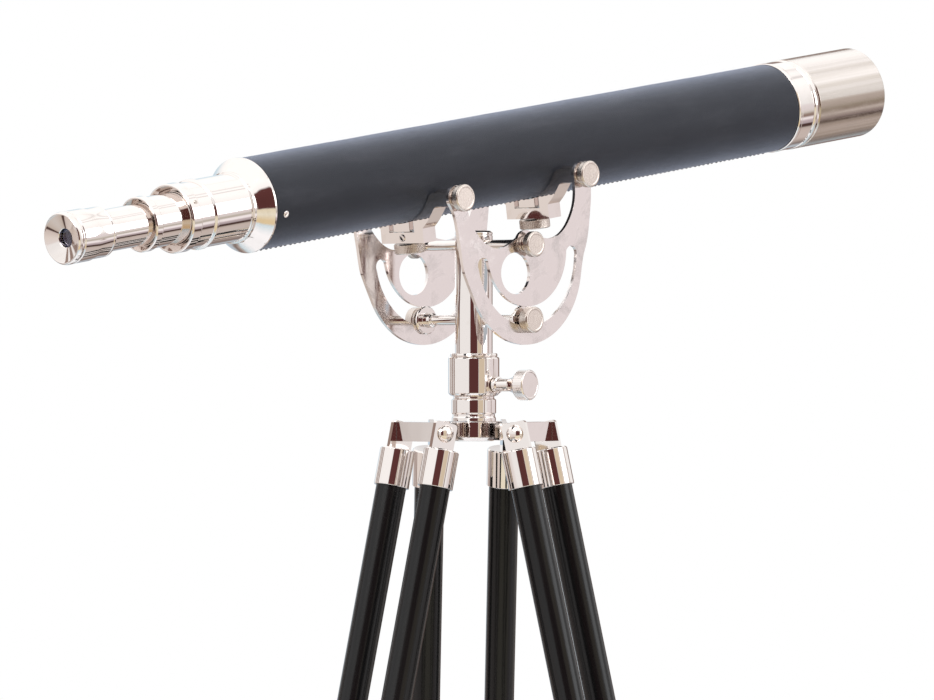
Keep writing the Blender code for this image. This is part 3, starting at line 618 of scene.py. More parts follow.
def make_bars_and_knobs():
    face = PLATE_INNER + PLATE_THICK + GAP
    bar_end = face + 0.0078
    washer = PLATE_INNER - GAP
    half_pivot = [(BAR_RADIUS - 0.0006, bar_end), (BAR_RADIUS, bar_end - 0.0006),
                  (BAR_RADIUS, POST_RADIUS + 0.012), (BAR_RADIUS, POST_RADIUS + 0.0106),
                  (BAR_RADIUS, POST_RADIUS + 0.01)]
    half_lock = [(BAR_RADIUS - 0.0006, bar_end), (BAR_RADIUS, bar_end - 0.0006),
                 (BAR_RADIUS, washer), (0.0112, washer), (0.012, washer - 0.0008),
                 (0.012, washer - 0.0022), (0.0112, washer - 0.003),
                 (0.0062, washer - 0.0032), (0.006, washer - 0.01),
                 (0.0052, washer - 0.0112), (BAR_RADIUS, washer - 0.0118)]
    pivot, lock = ([(0, bar_end)] + half + [(r, -z) for r, z in reversed(half)] + [(0, -bar_end)]
                   for half in (half_pivot, half_lock))
    across = spin(90, "X")
    turned("pivot_bar", pivot, 48, 0.0003, NICKEL, TURNTABLE @ move(z=PIVOT_Z) @ across)
    turned("lock_bar", lock, 72, 0.0004, NICKEL, TURNTABLE @ move(z=LOCK_BAR_Z) @ across)
    for kind, height, radius, length, neck, neck_length in (
            ("pivot_knob", PIVOT_Z, 0.0107, 0.0115, 0.0068, 0.0045),
            ("lock_knob", LOCK_BAR_Z, 0.011, 0.01, 0.0098, 0.0012)):
        profile = knob_profile(face, radius, length, neck, neck_length, bar_end)
        rim = (face + neck_length + 0.001, face + length - 0.0012, 64, 0.0001)
        mesh = lathe_mesh(kind, profile, knurl=rim)
        for side_name, side in SIDES:
            stand_in(f"{kind}_{side_name}", mesh,
                     TURNTABLE @ move(z=height) @ spin(90 * side, "X"), SATIN)


# ---- yoke
def plate_outline():
    rim = arc((RIM_U, RIM_V), RIM_RADIUS, -160, -20, 80)
    horns = [arc((end * HORN_U, HORN_V), HORN_RADIUS, start, start + 200, 28)
             for end, start in ((1, -15), (-1, -5))]
    front = curved([rim[-1], (0.0672, -0.02), (0.0725, -0.01), (0.0765, 0.0),
                    (0.08, 0.012), (0.084, 0.028), horns[0][0]])[1:-1]
    rear = curved([horns[1][-1], (-0.0811, 0.034), (-0.0788, 0.0127), (-0.0775, -0.0088),
                   (-0.0745, -0.02), rim[0]])[1:-1]
    boss = arc((0, 0), 0.0118, 35, 145, 24)
    throat = curved([horns[0][-1], (0.0655, 0.036), (0.0625, 0.025), (0.057, 0.016),
                     (0.0495, 0.008), (0.04, 0.0025), (0.03, 0.001), (0.02, 0.003),
                     boss[0]])[1:-1]
    mirror = [(-u, v) for u, v in reversed(throat)]
    return rim + front + horns[0] + throat + boss + mirror + horns[1] + rear


def end_cap(start, end):
    """Points of the half circle between two points, without the points themselves."""
    centre = (Vector(start) + Vector(end)) / 2
    spoke = Vector(start) - centre
    angle = math.degrees(math.atan2(spoke.y, spoke.x))
    return arc(centre, spoke.length, angle, angle + 180, 16)[1:-1]


def slot_outline():
    outer = arc((0, SLOT_OUTER_V), SLOT_OUTER_RADIUS, SLOT_FROM, SLOT_TO, 72)
    inner = arc((0, SLOT_INNER_V), SLOT_INNER_RADIUS, SLOT_TO, SLOT_FROM, 72)
    return outer + end_cap(outer[-1], inner[0]) + inner + end_cap(inner[-1], outer[0])


def make_plates():
    holes = [slot_outline(), arc((HOLE_U, HOLE_V), HOLE_RADIUS, 0, 360, 96)[:-1],
             arc((0, 0), BAR_BORE, 0, 360, 36)[:-1]]
    holes += [arc((end * HORN_U, HORN_V), STUD_BORE, 0, 360, 24)[:-1] for _, end in ENDS]
    mesh = outline_mesh("yoke_plate", [plate_outline()] + holes, PLATE_THICK)
    for side_name, side in SIDES:
        middle = side * (PLATE_INNER + PLATE_THICK / 2)
        stand_in(f"yoke_plate_{side_name}", mesh, YOKE @ move(y=-middle) @ spin(90, "X"), PLATE,
                 bevel=0.00045, angle=50)


def saddle_outline():
    inner = LEATHER_RADIUS + 0.0005
    boss_end = PLATE_INNER - GAP
    start = math.degrees(math.asin(NOTCH_HALF / inner))
    end = math.degrees(math.acos((AXIS_V - 0.052) / inner))
    flank = curved([(SADDLE_HALF, 0.025), (0.0307, 0.0305), (0.0365, 0.0372),
                    (0.0405, 0.0418), (0.044, 0.043)])
    half = [(SADDLE_HALF, SADDLE_BOTTOM)] + flank
    half += [(boss_end, 0.043), (boss_end, 0.0548), (0.0405, 0.0548)]
    half += arc((0, AXIS_V), inner, -90 + end, -90 + start, 40)
    half.append((NOTCH_HALF, NOTCH_BOTTOM))
    return mirrored(half)


def make_saddles():
    base = outline_mesh("saddle", [saddle_outline()], SADDLE_DEPTH)
    upright = spin(90, "Z") @ spin(90, "X")
    base.transform(upright)
    joins = [rod(0.0074, (0, side * 0.0405, HORN_V), (0, side * (PLATE_INNER - GAP), HORN_V), 56)
             for _, side in SIDES]
    cuts = [rod(STUD_BORE, (0, side * 0.039, HORN_V), (0, side * 0.06, HORN_V))
            for _, side in SIDES]
    cuts.append(rod(STUD_BORE, (0, 0, 0.005), (0, 0, 0.024)))
    cuts.append(rod(LEATHER_RADIUS + 0.0005, (-0.02, 0, AXIS_V), (0.02, 0, AXIS_V), 128))
    mesh = combined("saddle", base, joins, cuts)

    half, radius = FOOT_HALF, LEATHER_RADIUS + GAP
    reach = math.degrees(math.asin(half / radius))
    foot = [(-half, NOTCH_BOTTOM + GAP), (half, NOTCH_BOTTOM + GAP)]
    foot += arc((0, AXIS_V), radius, -90 + reach, -90 - reach, 16)
    foot_base = outline_mesh("barrel_foot", [foot], SADDLE_DEPTH)
    foot_base.transform(upright)
    tapped = rod(STUD_BORE, (0, 0, 0.02), (0, 0, 0.0285))
    foot_mesh = combined("barrel_foot", foot_base, cuts=[tapped])

    under = SADDLE_BOTTOM - GAP
    screw = [(0, 0.028), (STUD_RADIUS, 0.028)] + raised(under, [
        (STUD_RADIUS, 0), (0.0119, 0, 0.0003), (0.013, -0.001, 0.0004), (0.013, -0.0077, 0.0004),
        (0.012, -0.0086, 0.0003), (0.0085, -0.0086), (0.008, -0.0082), (0, -0.0082)])
    knurl = (under - 0.0076, under - 0.0011, 64, 0.00016)
    screw_mesh = lathe_mesh("saddle_screw", screw, knurl=knurl)
    face = PLATE_INNER + PLATE_THICK + GAP
    top, rim, neck = face + HORN_KNOB_LENGTH, HORN_KNOB_RADIUS, face + HORN_KNOB_NECK
    knob = [(0, top - 0.0002), (rim * 0.76, top - 0.0002), (rim * 0.81, top, 0.0002),
            (rim - 0.001, top, 0.0005), (rim, top - 0.001, 0.0005),
            (rim, neck + 0.0008, 0.0004), (rim - 0.0008, neck, 0.0003), (0.0078, neck, 0.0003),
            (0.0078, face + 0.0005, 0.0003), (0.0073, face), (STUD_RADIUS, face),
            (STUD_RADIUS, 0.0445), (0, 0.0445)]
    knob_mesh = lathe_mesh("horn_knob", knob, knurl=(neck + 0.001, top - 0.0012, 64, 0.00008))
    for end_name, end in ENDS:
        at = YOKE @ move(x=end * HORN_U)
        stand_in(f"saddle_{end_name}", mesh, at, NICKEL, bevel=0.0006, angle=40)
        stand_in(f"barrel_foot_{end_name}", foot_mesh, at, NICKEL, bevel=0.0005, angle=40)
        stand_in(f"saddle_screw_{end_name}", screw_mesh, at, SATIN)
        for side_name, side in SIDES:
            stand_in(f"horn_knob_{end_name}_{side_name}", knob_mesh,
                     at @ move(z=HORN_V) @ spin(90 * side, "X"), SATIN)
    keeper = slotted_screw(0.0031, 0.0009)
    at = YOKE @ move(x=-HORN_U - SADDLE_DEPTH / 2, z=(SADDLE_BOTTOM + NOTCH_BOTTOM) / 2)
    piece("saddle_rear_keeper_screw", keeper, at @ spin(-90, "Y") @ spin(35, "Z"), NICKEL,
          "telescope", bevel=0.0)


# ---- telescope
def make_barrel():
    tube_start, tube_end = BELL_END + GAP, CELL_END - 0.0113
    inner = TUBE_RADIUS - TUBE_WALL
    tube = [(TUBE_RADIUS, tube_end), (TUBE_RADIUS, tube_start),
            (inner, tube_start), (inner, tube_end)]
    turned("barrel_tube", tube, 96, 0.0004, NICKEL, ring=True, inner=INSIDE)
    skin = TUBE_RADIUS + GAP
    end = LEATHER_END - GAP
    rolls = 44
    wrap = [(LEATHER_RADIUS - 0.0003, end, 0.0005), (LEATHER_RADIUS, end - 0.0012)]
    for step in range(1, rolls):
        share = step / rolls
        wave = 0.00007 * math.sin(share * 37.0) + 0.00005 * math.sin(share * 83.0 + 1.0)
        wrap.append((LEATHER_RADIUS - 0.00006 + wave, end + (tube_start - end) * share))
    wrap += [(LEATHER_RADIUS, tube_start + 0.0012), (LEATHER_RADIUS - 0.0003, tube_start, 0.0005),
             (skin, tube_start), (skin, end)]
    turned("leather_cover", wrap, 144, 0.0002, LEATHER, ring=True)


def make_stitching():
    """The cover's butt seam under the barrel: a row of saddle stitches."""
    bm = bmesh.new()
    start, end = BELL_END + 0.006, LEATHER_END - 0.005
    pitch, length, sides, rows = 0.0056, 0.004, 8, 10
    count = int((end - start) / pitch)
    for index in range(count):
        middle = start + pitch * (index + 0.5)
        lean = 0.00035 * math.sin(index * 2.4)
        loops = []
        for row in range(rows + 1):
            t = -1 + 2 * row / rows
            rise = LEATHER_RADIUS + 0.00035 - 0.0012 * abs(t) ** 5
            thick = 0.00062 * (1 - 0.45 * abs(t) ** 6)
            side = lean + 0.00055 * t
            loop = []
            for k in range(sides):
                angle = math.tau * k / sides
                loop.append(bm.verts.new((rise + thick * 0.85 * math.cos(angle),
                                          side + thick * math.sin(angle),
                                          middle + t * length / 2)))
            loops.append(loop)
        for a, b in zip(loops, loops[1:]):
            for k in range(sides):
                bm.faces.new((a[k], a[(k + 1) % sides], b[(k + 1) % sides], b[k]))
        bm.faces.new(loops[0])
        bm.faces.new(loops[-1])
    bmesh.ops.recalc_face_normals(bm, faces=bm.faces)
    piece("leather_stitching", finished(bm, "stitches"), OPTICS, THREAD, "telescope")


def make_rear_bell():
    spigot = TUBE_RADIUS - TUBE_WALL - GAP
    bore = DRAW_2_RADIUS + GAP
    neck, face = NECK_RADIUS, NECK_FACE
    flare = curved([(0.0385, BELL_END - 0.003), (0.0352, -0.269), (0.0318, -0.273),
                    (neck + 0.0016, BELL_START)], 5)
    profile = [(spigot, -0.24), (spigot, BELL_END), (0.0392, BELL_END, 0.0005),
               (0.0392, BELL_END - 0.0021, 0.0006)] + flare + [
        (neck + 0.0016, BELL_START - 0.0028, 0.0006), (neck + 0.0004, BELL_START - 0.0034),
        (neck, BELL_START - 0.0046), (neck - 0.0001, -0.317), (neck + 0.0009, -0.318, 0.0004),
        (neck + 0.0009, -0.3198, 0.0004), (neck - 0.0008, -0.321, 0.0004),
        (neck - 0.0008, -0.3352, 0.0004), (neck + 0.0003, -0.3366, 0.0005)] + raised(face, [
            (neck + 0.0003, 0.0009, 0.0007), (neck - 0.0006, 0, 0.0004),
            (neck - 0.0016, 0, 0.0002), (bore + 0.001, 0.0046, 0.0004), (bore, 0.005, 0.0003)]) + [
        (bore, -0.334), (0.0255, -0.332), (0.0255, -0.282), (0.0335, -0.266), (0.0335, -0.24)]
    turned("rear_bell", profile, 128, 0.0003, NICKEL, ring=True, inner=INSIDE)
    for index, (angle, radius, at, size) in enumerate((
            (-116, neck + 0.0002, face + 0.0068, 0.0018),
            (-72, neck + 0.0014, BELL_START - 0.0014, 0.0015),
            (-20, neck + 0.0014, BELL_START - 0.0014, 0.0015),
            (-76, LEATHER_RADIUS, BELL_END + 0.0105, 0.0029))):
        matrix = OPTICS @ spin(angle, "Z") @ move(x=radius, z=at) @ spin(90, "Y") @ spin(50, "Z")
        piece(f"barrel_screw_{index + 1}", slotted_screw(size, 0.0008), matrix,
              NICKEL if index == 3 else SATIN, "telescope")


def make_draw_tubes():
    lip, bore = DRAW_2_RADIUS + 0.0015, DRAW_1_RADIUS + GAP
    inner = DRAW_2_RADIUS - 0.0015
    second = [(DRAW_2_RADIUS, DRAW_2_END)] + raised(DRAW_2_FACE, [
        (DRAW_2_RADIUS, 0.0078), (lip - 0.0006, 0.0074, 0.0003), (lip, 0.0066, 0.0006),
        (lip, 0.0009, 0.0006), (lip - 0.0007, 0, 0.0004), (lip - 0.0016, 0, 0.0002),
        (bore + 0.0008, 0.0044, 0.0004), (bore, 0.0048, 0.0003), (bore, 0.01),
        (inner, 0.011)]) + [(inner, DRAW_2_END)]
    turned("draw_tube_2", second, 112, 0.0003, NICKEL, ring=True, inner=INSIDE)
    seat, stop = DRAW_1_RADIUS - 0.0012, DRAW_1_RADIUS - 0.004
    tube_start = EYECUP_END - 0.016
    first = [(DRAW_1_RADIUS, DRAW_1_END), (DRAW_1_RADIUS, tube_start), (seat, tube_start),
             (seat, DRAW_1_END - 0.012), (stop, DRAW_1_END - 0.012), (stop, DRAW_1_END - 0.01),
             (seat, DRAW_1_END - 0.01), (seat, DRAW_1_END)]
    turned("draw_tube_1", first, 96, 0.0003, NICKEL, ring=True, inner=INSIDE)
    stand_in("erector_lens", lens(seat - GAP, DRAW_1_END - 0.0095, 0.002, 0.0015), OPTICS, GLASS)


def make_eyecup():
    socket = DRAW_1_RADIUS + GAP
    face, end = EYECUP_FACE, EYECUP_END
    bore, stop = 0.0092, face + 0.0068
    profile = raised(end, [
        (socket, 0), (0.0194, 0, 0.0003), (0.0204, -0.001, 0.0006), (0.0204, -0.0027, 0.0002),
        (0.02, -0.003, 0.0001), (0.02, -0.0034, 0.0001), (0.0204, -0.0037, 0.0002),
        (0.0204, -0.015, 0.003), (0.0212, -0.019, 0.003)])
    profile += raised(face, [
        (0.0212, 0.0076, 0.0004), (0.0206, 0.007, 0.0002), (0.0206, 0.0062, 0.0002),
        (0.0212, 0.0054, 0.0005), (0.0214, 0.0036, 0.002), (0.0209, 0.0012, 0.0012),
        (0.0198, 0, 0.0008), (0.0188, 0.0006, 0.0005), (0.008, 0.0046, 0.0004),
        (0.0076, 0.005, 0.0003)])
    profile += [(0.0076, stop), (bore, stop), (bore, end - 0.017), (socket, end - 0.0163)]
    turned("eyecup", profile, 128, 0.0003, NICKEL, ring=True)
    stand_in("eye_lens", lens(bore - GAP, stop + GAP, 0.0015, 0.001, 48), OPTICS, GLASS)


def lens(radius, start, edge, bulge, segments=96):
    """Biconvex lens from its rear face at start."""
    steps = 14
    front = [(radius * i / steps, start + edge + 2 * bulge - bulge * (i / steps) ** 2)
             for i in range(steps + 1)]
    rear = [(radius * i / steps, start + bulge * (i / steps) ** 2) for i in range(steps, -1, -1)]
    return lathe_mesh("lens", front + rear, segments, 0.0002)


def make_objective():
    sleeve = TUBE_RADIUS + GAP
    seat, stop = 0.0335, 0.0315
    end = CELL_END
    profile = raised(end, [
        (seat, 0), (0.0388, 0), (0.0396, -0.001, 0.0008), (0.0397, -0.0034, 0.0012),
        (0.0392, -0.0052, 0.0006), (0.0382, -0.0058, 0.0003), (0.0382, -0.0066, 0.0003),
        (0.039, -0.0074, 0.0004)])
    profile += raised(LEATHER_END, [
        (0.0391, 0.0046, 0.0003), (0.0394, 0.0036, 0.0004), (0.0394, 0.001, 0.0006),
        (0.0388, 0, 0.0004), (sleeve, 0)])
    profile += raised(end, [(sleeve, -0.011), (stop, -0.011), (stop, -0.009), (seat, -0.009)])
    turned("objective_cell", profile, 144, 0.0003, NICKEL, ring=True, inner=INSIDE)
    stand_in("objective_lens", lens(seat - GAP, end - 0.0088, 0.003, 0.0025), OPTICS, GLASS)
    start = end + GAP
    shade = [(0.0388, SHADE_END, 0.0004), (0.0396, SHADE_END - 0.001, 0.0006),
             (0.0396, start + 0.0011, 0.0006), (0.0386, start), (0.034, start),
             (0.034, start + 0.003), (0.038, start + 0.004), (0.038, SHADE_END)]
    turned("sunshade", shade, 144, 0.0003, BRUSHED, ring=True, inner=INSIDE)


# ---- legs
def ear_mesh(side):
    """Flat ear with round shoulders, between the crossbar and the ferrule's cup."""
    inner = side * (CROSSBAR_HALF + GAP)
    half, top, bottom = EAR_WIDTH / 2, EAR_TOP, -FERRULE_TOP - 0.003
    shoulder = 0.003
    outline = [(half, bottom)] + arc((half - shoulder, top - shoulder), shoulder, 0, 90, 10)
    mesh = outline_mesh("ear", [mirrored(outline)], EAR_THICK)
    mesh.transform(move(y=inner + side * EAR_THICK / 2) @ spin(90, "X"))
    return mesh


def make_leg_meshes(leg_length):
    meshes = {}
    shell, cup_floor = FERRULE_RADIUS, -FERRULE_TOP - 0.004
    rod_top, rod_end = FERRULE_TOP + 0.0043, BRACKET_BOTTOM - 0.008
    for side_name, side in SIDES:
        y = side * TWIN_OFFSET
        cup = lathe_mesh("cup", [
            (0, -FERRULE_TOP), (shell - 0.001, -FERRULE_TOP, 0.0004),
            (shell, -FERRULE_TOP - 0.001, 0.0006), (shell, -FERRULE_BOTTOM, 0.0006),
            (ROD_BORE, -FERRULE_BOTTOM), (ROD_BORE, cup_floor), (0, cup_floor)], 96, 0.0003)
        cup.transform(move(y=y))
        cuts = [rod(STUD_BORE, (0, side * 0.02, 0), (0, side * 0.04, 0)),
                rod(ROD_BORE, (0, y, -FERRULE_BOTTOM - 0.01), (0, y, cup_floor), 96)]
        meshes[f"ferrule_{side_name}"] = combined("ferrule", cup, [ear_mesh(side)], cuts)
        upper = meshes[f"upper_rod_{side_name}"] = lathe_mesh("upper_rod", [
            (0, -rod_top), (ROD_RADIUS, -rod_top, 0.001), (ROD_RADIUS, -rod_end, 0.001),
            (0, -rod_end)], 64)
        upper.transform(move(y=y))

    reach = CROSSBAR_HALF + GAP + EAR_THICK + GAP
    dome = [(0, reach + 0.0045)] + [(0.0072 * math.sin(math.radians(a)),
                                     reach + 0.0008 + 0.0037 * math.cos(math.radians(a)))
                                    for a in range(12, 91, 13)]
    dome += [(0.0074, reach + 0.0004, 0.0002), (0.0072, reach), (STUD_RADIUS, reach)]
    bolt = dome + [(r, -z) for r, z, *_ in reversed(dome)]
    meshes["hinge_bolt"] = lathe_mesh("hinge_bolt", bolt, 48, 0.0002)
    meshes["hinge_bolt"].transform(spin(90, "X"))

    cup = ROD_BORE + BRACKET_WALL
    twins = (-TWIN_OFFSET, TWIN_OFFSET)
    web = block((-0.006, -TWIN_OFFSET, -BRACKET_BOTTOM + 0.004),
                (0.006, TWIN_OFFSET, -BRACKET_TOP - 0.004))
    cups = [rod(cup, (0, y, -BRACKET_BOTTOM), (0, y, -BRACKET_TOP), 72) for y in twins]
    bosses = [rod(0.0068, (0.01, 0, -CLAMP_AT), (cup + 0.0004, 0, -CLAMP_AT), 40)]
    cuts = [rod(ROD_BORE, (0, y, -rod_end - GAP), (0, y, -BRACKET_TOP + 0.01), 72)
            for y in twins]
    cuts.append(rod(ROD_BORE, (0, 0, -BRACKET_BOTTOM - 0.01), (0, 0, -BRACKET_TOP + 0.01), 72))
    cuts.append(rod(STUD_BORE, (0.008, 0, -CLAMP_AT), (0.03, 0, -CLAMP_AT)))
    sleeve = rod(cup, (0, 0, -BRACKET_BOTTOM), (0, 0, -BRACKET_TOP), 72)
    meshes["bracket"] = combined("bracket", sleeve, [web] + cups + bosses, cuts)

    seat = cup + 2 * GAP
    clamp = [(0, 0.0332), (0.007, 0.0332), (0.0076, 0.0335, 0.0002), (0.0089, 0.0335, 0.0003),
             (0.0098, 0.0326, 0.0003), (0.0098, 0.0266, 0.0003), (0.0088, 0.0256, 0.0003),
             (0.006, 0.0244, 0.001), (0.0045, 0.0228, 0.0006), (0.0045, seat),
             (STUD_RADIUS, seat), (STUD_RADIUS, ROD_BORE), (0, ROD_BORE)]
    meshes["clamp_screw"] = lathe_mesh("clamp", clamp, knurl=(0.0264, 0.0328, 48, 0.0003))
    meshes["clamp_screw"].transform(move(z=-CLAMP_AT) @ spin(90, "Y"))

    foot_top = leg_length - FOOT_LENGTH
    rod_bottom = foot_top + 0.012
    meshes["lower_rod"] = lathe_mesh("lower_rod", [
        (0, -LOWER_ROD_TOP), (ROD_RADIUS, -LOWER_ROD_TOP, 0.001),
        (ROD_RADIUS, -rod_bottom, 0.001), (0, -rod_bottom)], 64)
    below = leg_length + 0.006
    meshes["foot"] = lathe_mesh("foot", raised(-foot_top, [
        (ROD_BORE, 0), (shell, 0, 0.0006), (shell, -0.003), (shell - 0.0004, -0.0034),
        (shell - 0.0004, -0.0042), (shell, -0.0046), (shell, -0.02, 0.0012)]) + [
        (0.007, -leg_length + 0.004, 0.001), (0.0055, -below), (0, -below),
        (0, -rod_bottom - GAP), (ROD_BORE, -rod_bottom - GAP)], 72, 0.0003, ring=True)
    return meshes


def make_legs():
    legs = [leg_frame(number) for number in (1, 2, 3)]
    up_leg = legs[0].col[2].xyz
    leg_length = HINGE_Z / up_leg.z
    meshes = make_leg_meshes(leg_length)
    hinge = legs[0].translation
    slab = block((-0.6, -0.6, -0.1), (0.6, 0.6, 0.0))
    slab.transform(legs[0].inverted() @ move(hinge.x, hinge.y, 0.0))
    meshes["foot"] = combined("foot", meshes["foot"], cuts=[slab])
    finish = {"upper_rod_right": WOOD, "upper_rod_left": WOOD, "lower_rod": WOOD,
              "clamp_screw": SATIN}
    bevels = {"ferrule_right": 0.0005, "ferrule_left": 0.0005, "bracket": 0.0005, "foot": 0.0}
    for number, matrix in enumerate(legs, start=1):
        for kind, mesh in meshes.items():
            stand_in(f"leg_{number}_{kind}", mesh, matrix, finish.get(kind, NICKEL),
                     bevel=bevels.get(kind, 0.0), angle=45)


make_hub()
make_collar()
make_pan_lock()
make_post()
make_bars_and_knobs()
make_plates()
make_saddles()
make_barrel()
make_stitching()
make_rear_bell()
make_draw_tubes()
make_eyecup()
make_objective()
make_legs()


# ---- studio
CAMERA_AZIMUTH = math.radians(-5.5)
CAMERA_DISTANCE, CAMERA_RAISE = 5.8, 0.0614      # from the tripod's axis, above the leg hinges
FLOOR_RADIUS, FLOOR_FADE = 1.7, (0.7, 1.6)
CAMERA_LENS, CAMERA_AIM = 265.95, (-0.000986, 1.0, 0.00145)


def make_world():
    """A pale studio: white above, thin dark lines and warm tones low down, blue-white below, and
    a dark and a cream upright near the camera. The camera itself sees plain white."""
    world = bpy.data.worlds.new("studio")
    bpy.context.scene.world = world
    world.use_nodes = True
    tree = world.node_tree
    tree.nodes.clear()
    coords = add(tree, "ShaderNodeTexCoord").outputs["Generated"]
    facing = add(tree, "ShaderNodeMapping", {"Vector": coords, "Rotation": (0, 0, -CAMERA_AZIMUTH)})
    parts = add(tree, "ShaderNodeSeparateXYZ", {0: facing.outputs[0]})
    x, y, z = parts.outputs
    azimuth = math_node(tree, "ARCTAN2", x, math_node(tree, "MULTIPLY", y, -1.0))
    wobble = noise(tree, coords, 3.0, 2.0)
    height = math_node(tree, "ADD", math_node(tree, "ARCSINE", z),
                       span(tree, wobble, 0, 1, -0.015, 0.015))
    up_share = span(tree, height, -math.pi / 2, math.pi / 2, 0.0, 1.0)
    round_share = span(tree, azimuth, -math.pi, math.pi, 0.0, 1.0)

    def level(degrees):
        return (degrees + 90) / 180

    def bearing(degrees):
        return (degrees + 180) / 360

    def by_height(stops):
        return ramp(tree, up_share, [(level(at), colour) for at, colour in stops]).outputs[0]

    def by_bearing(stops):
        return ramp(tree, round_share, [(bearing(at), colour) for at, colour in stops])

    white, black = (1.0, 1.0, 1.0), (0.0, 0.0, 0.0)
    pale_blue, dark_line = (0.6, 0.79, 0.88), (0.085, 0.048, 0.042)
    left = by_height([
        (-90, pale_blue), (-46, pale_blue), (-39, (0.7, 0.64, 0.6)), (-33, (0.6, 0.52, 0.46)),
        (-31.5, dark_line), (-29.5, dark_line), (-28, (0.7, 0.61, 0.57)),
        (-15, (0.86, 0.79, 0.74)), (-5, (0.88, 0.82, 0.8)), (-1.5, white), (90, white)])
    right = by_height([
        (-90, pale_blue), (-48, (0.6, 0.72, 0.78)), (-38, (0.64, 0.58, 0.55)),
        (-31, (0.65, 0.56, 0.52)), (-28.6, (0.56, 0.49, 0.44)), (-27.2, dark_line),
        (-24.6, dark_line), (-23.3, (0.5, 0.43, 0.45)), (-20.5, (0.58, 0.49, 0.52)),
        (-17.5, (1.05, 1.0, 1.02)), (-14.5, (1.05, 1.0, 1.02)), (-11.8, (0.58, 0.54, 0.48)),
        (-9.5, (0.58, 0.54, 0.48)), (-7, (0.78, 0.73, 0.7)), (-3, (0.85, 0.79, 0.8)),
        (3, (0.9, 0.84, 0.85)), (7, white), (46, white), (47.5, (0.62, 0.6, 0.6)),
        (49, white), (51, white), (52, (0.7, 0.69, 0.69)), (53, white), (90, white)])
    far = by_height([
        (-90, pale_blue), (-45, pale_blue), (-38, (0.44, 0.37, 0.34)), (-31, (0.26, 0.2, 0.18)),
        (-26, (0.32, 0.28, 0.27)), (-22, (0.5, 0.55, 0.6)), (-6, (0.56, 0.67, 0.78)),
        (14, (0.66, 0.8, 0.88)), (30, white), (90, white)])
    rightward = by_bearing([(-180, black), (66, black), (78, white), (180, white)]).outputs[0]
    farward = by_bearing([(-180, white), (-160, white), (-142, black), (142, black),
                          (162, white), (180, white)]).outputs[0]
    room = mix_colours(tree, farward, mix_colours(tree, rightward, left, right), far)

    warm = by_bearing([(-34, black), (-26, white), (52, white), (62, black)]).outputs[0]
    low = by_height([(-52, black), (-47, white), (-17, white), (-14, black)])
    cream = by_height([(-40, (0.86, 0.7, 0.44)), (-28, (0.95, 0.9, 0.74)),
                       (-14, (0.9, 0.8, 0.58))])
    room = mix_colours(tree, math_node(tree, "MULTIPLY", warm, low), room, cream)

    clear = (0.9, 0.85, 0.83, 0.0)
    dark, gold = (0.115, 0.04, 0.038, 1.0), (0.74, 0.63, 0.48, 1.0)
    brown = (0.25, 0.155, 0.12, 0.9)
    stripes = [(-132, -124, brown), (-118, -110, brown), (-104, -97, brown), (-21, 21, dark),
               (23, 50, gold), (54, 59, brown), (100, 104, brown), (143, 150, brown)]
    edges = [(-180, clear)]
    for start, end, colour in stripes:
        edges += [(start - 1, clear), (start, colour), (end, colour), (end + 1, clear)]
    uprights = by_bearing(edges[:-1])
    window = by_height([(-17, black), (-14, white), (23, white), (27, black)])
    mask = math_node(tree, "MULTIPLY", uprights.outputs["Alpha"], window)
    room = mix_colours(tree, mask, room, uprights.outputs[0])

    glow = span(tree, up_share, level(5), level(40), 1.0, 1.3)
    studio = add(tree, "ShaderNodeBackground", {"Color": room, "Strength": glow})
    plain = add(tree, "ShaderNodeBackground", {"Color": (1, 1, 1, 1), "Strength": 1.0})
    seen = add(tree, "ShaderNodeLightPath").outputs["Is Camera Ray"]
    mixed = add(tree, "ShaderNodeMixShader", {0: seen, 1: studio.outputs[0], 2: plain.outputs[0]})
    add(tree, "ShaderNodeOutputWorld", {"Surface": mixed.outputs[0]})


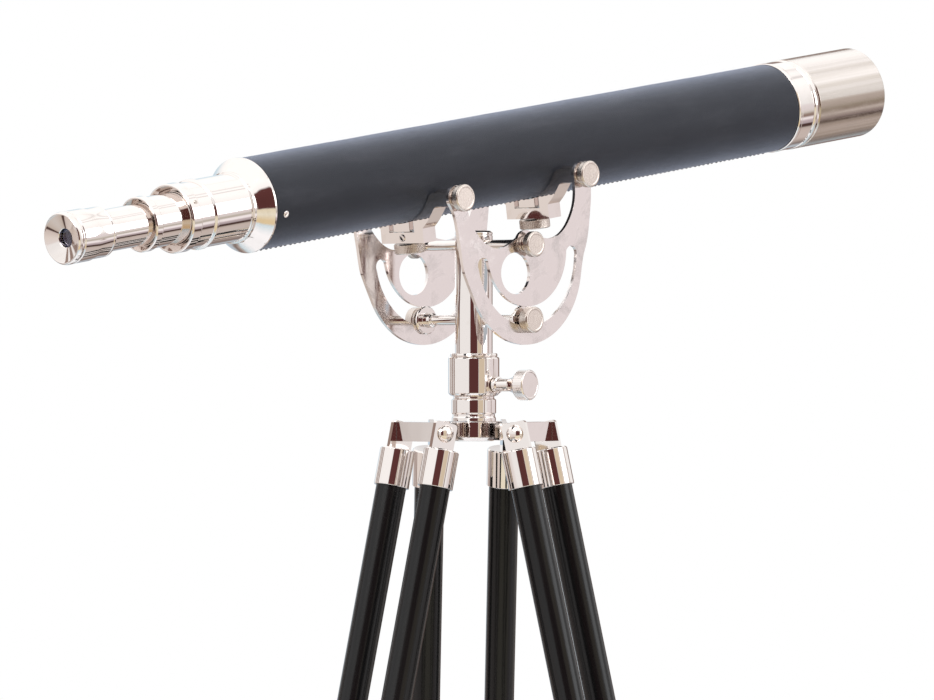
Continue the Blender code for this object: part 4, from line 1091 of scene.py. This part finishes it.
def make_floor():
    """A pale round floor that fades out at its rim."""
    bm = bmesh.new()
    bmesh.ops.create_circle(bm, cap_ends=True, segments=128, radius=FLOOR_RADIUS)
    floor = new_object("studio_floor", finished(bm, "floor"))
    floor.location = (0, 0, -0.0005)
    material, tree, shader, coords = start_material("floor_pale")
    patch = noise(tree, coords, 1.2, 3.0)
    tone = ramp(tree, patch, [(0.3, (0.8, 0.82, 0.85)), (0.7, (0.83, 0.85, 0.88))])
    reach = add(tree, "ShaderNodeVectorMath", {0: coords}, operation="LENGTH").outputs["Value"]
    feed(tree, shader, {"Base Color": tone.outputs[0], "Roughness": 0.9,
                        "Specular IOR Level": 0.1,
                        "Alpha": span(tree, reach, *FLOOR_FADE, 1.0, 0.0)})
    floor.data.materials.append(material)


def look_along(obj, direction):
    obj.rotation_mode = "QUATERNION"
    obj.rotation_quaternion = direction.to_track_quat("-Z", "Y")


def make_light(name, location, target, size, power, colour):
    data = bpy.data.lights.new(name, "AREA")
    data.shape = "RECTANGLE"
    data.size, data.size_y = size
    data.energy = power
    data.color = colour
    light = new_object(name, data)
    light.location = location
    look_along(light, Vector(target) - Vector(location))


def make_camera():
    data = bpy.data.cameras.new("camera")
    data.sensor_width = 36.0
    data.lens = CAMERA_LENS
    data.clip_end = 100.0
    camera = new_object("camera", data)
    back = Vector((math.sin(CAMERA_AZIMUTH), -math.cos(CAMERA_AZIMUTH), 0.0))
    camera.location = AXIS + back * CAMERA_DISTANCE + UP * CAMERA_RAISE
    ahead = Vector(CAMERA_AIM)
    ahead.rotate(Matrix.Rotation(CAMERA_AZIMUTH, 3, "Z"))
    look_along(camera, ahead)
    bpy.context.scene.camera = camera


make_world()
make_floor()
make_light("key", (-2.2, -2.6, 3.6), AXIS, (2.2, 1.6), 60.0, (1.0, 0.98, 0.96))
make_light("fill", (2.8, -1.2, 2.2), AXIS, (1.6, 1.6), 18.0, (0.94, 0.97, 1.0))
make_camera()
view = bpy.context.scene.view_settings
view.view_transform = "Standard"
view.look = "None"
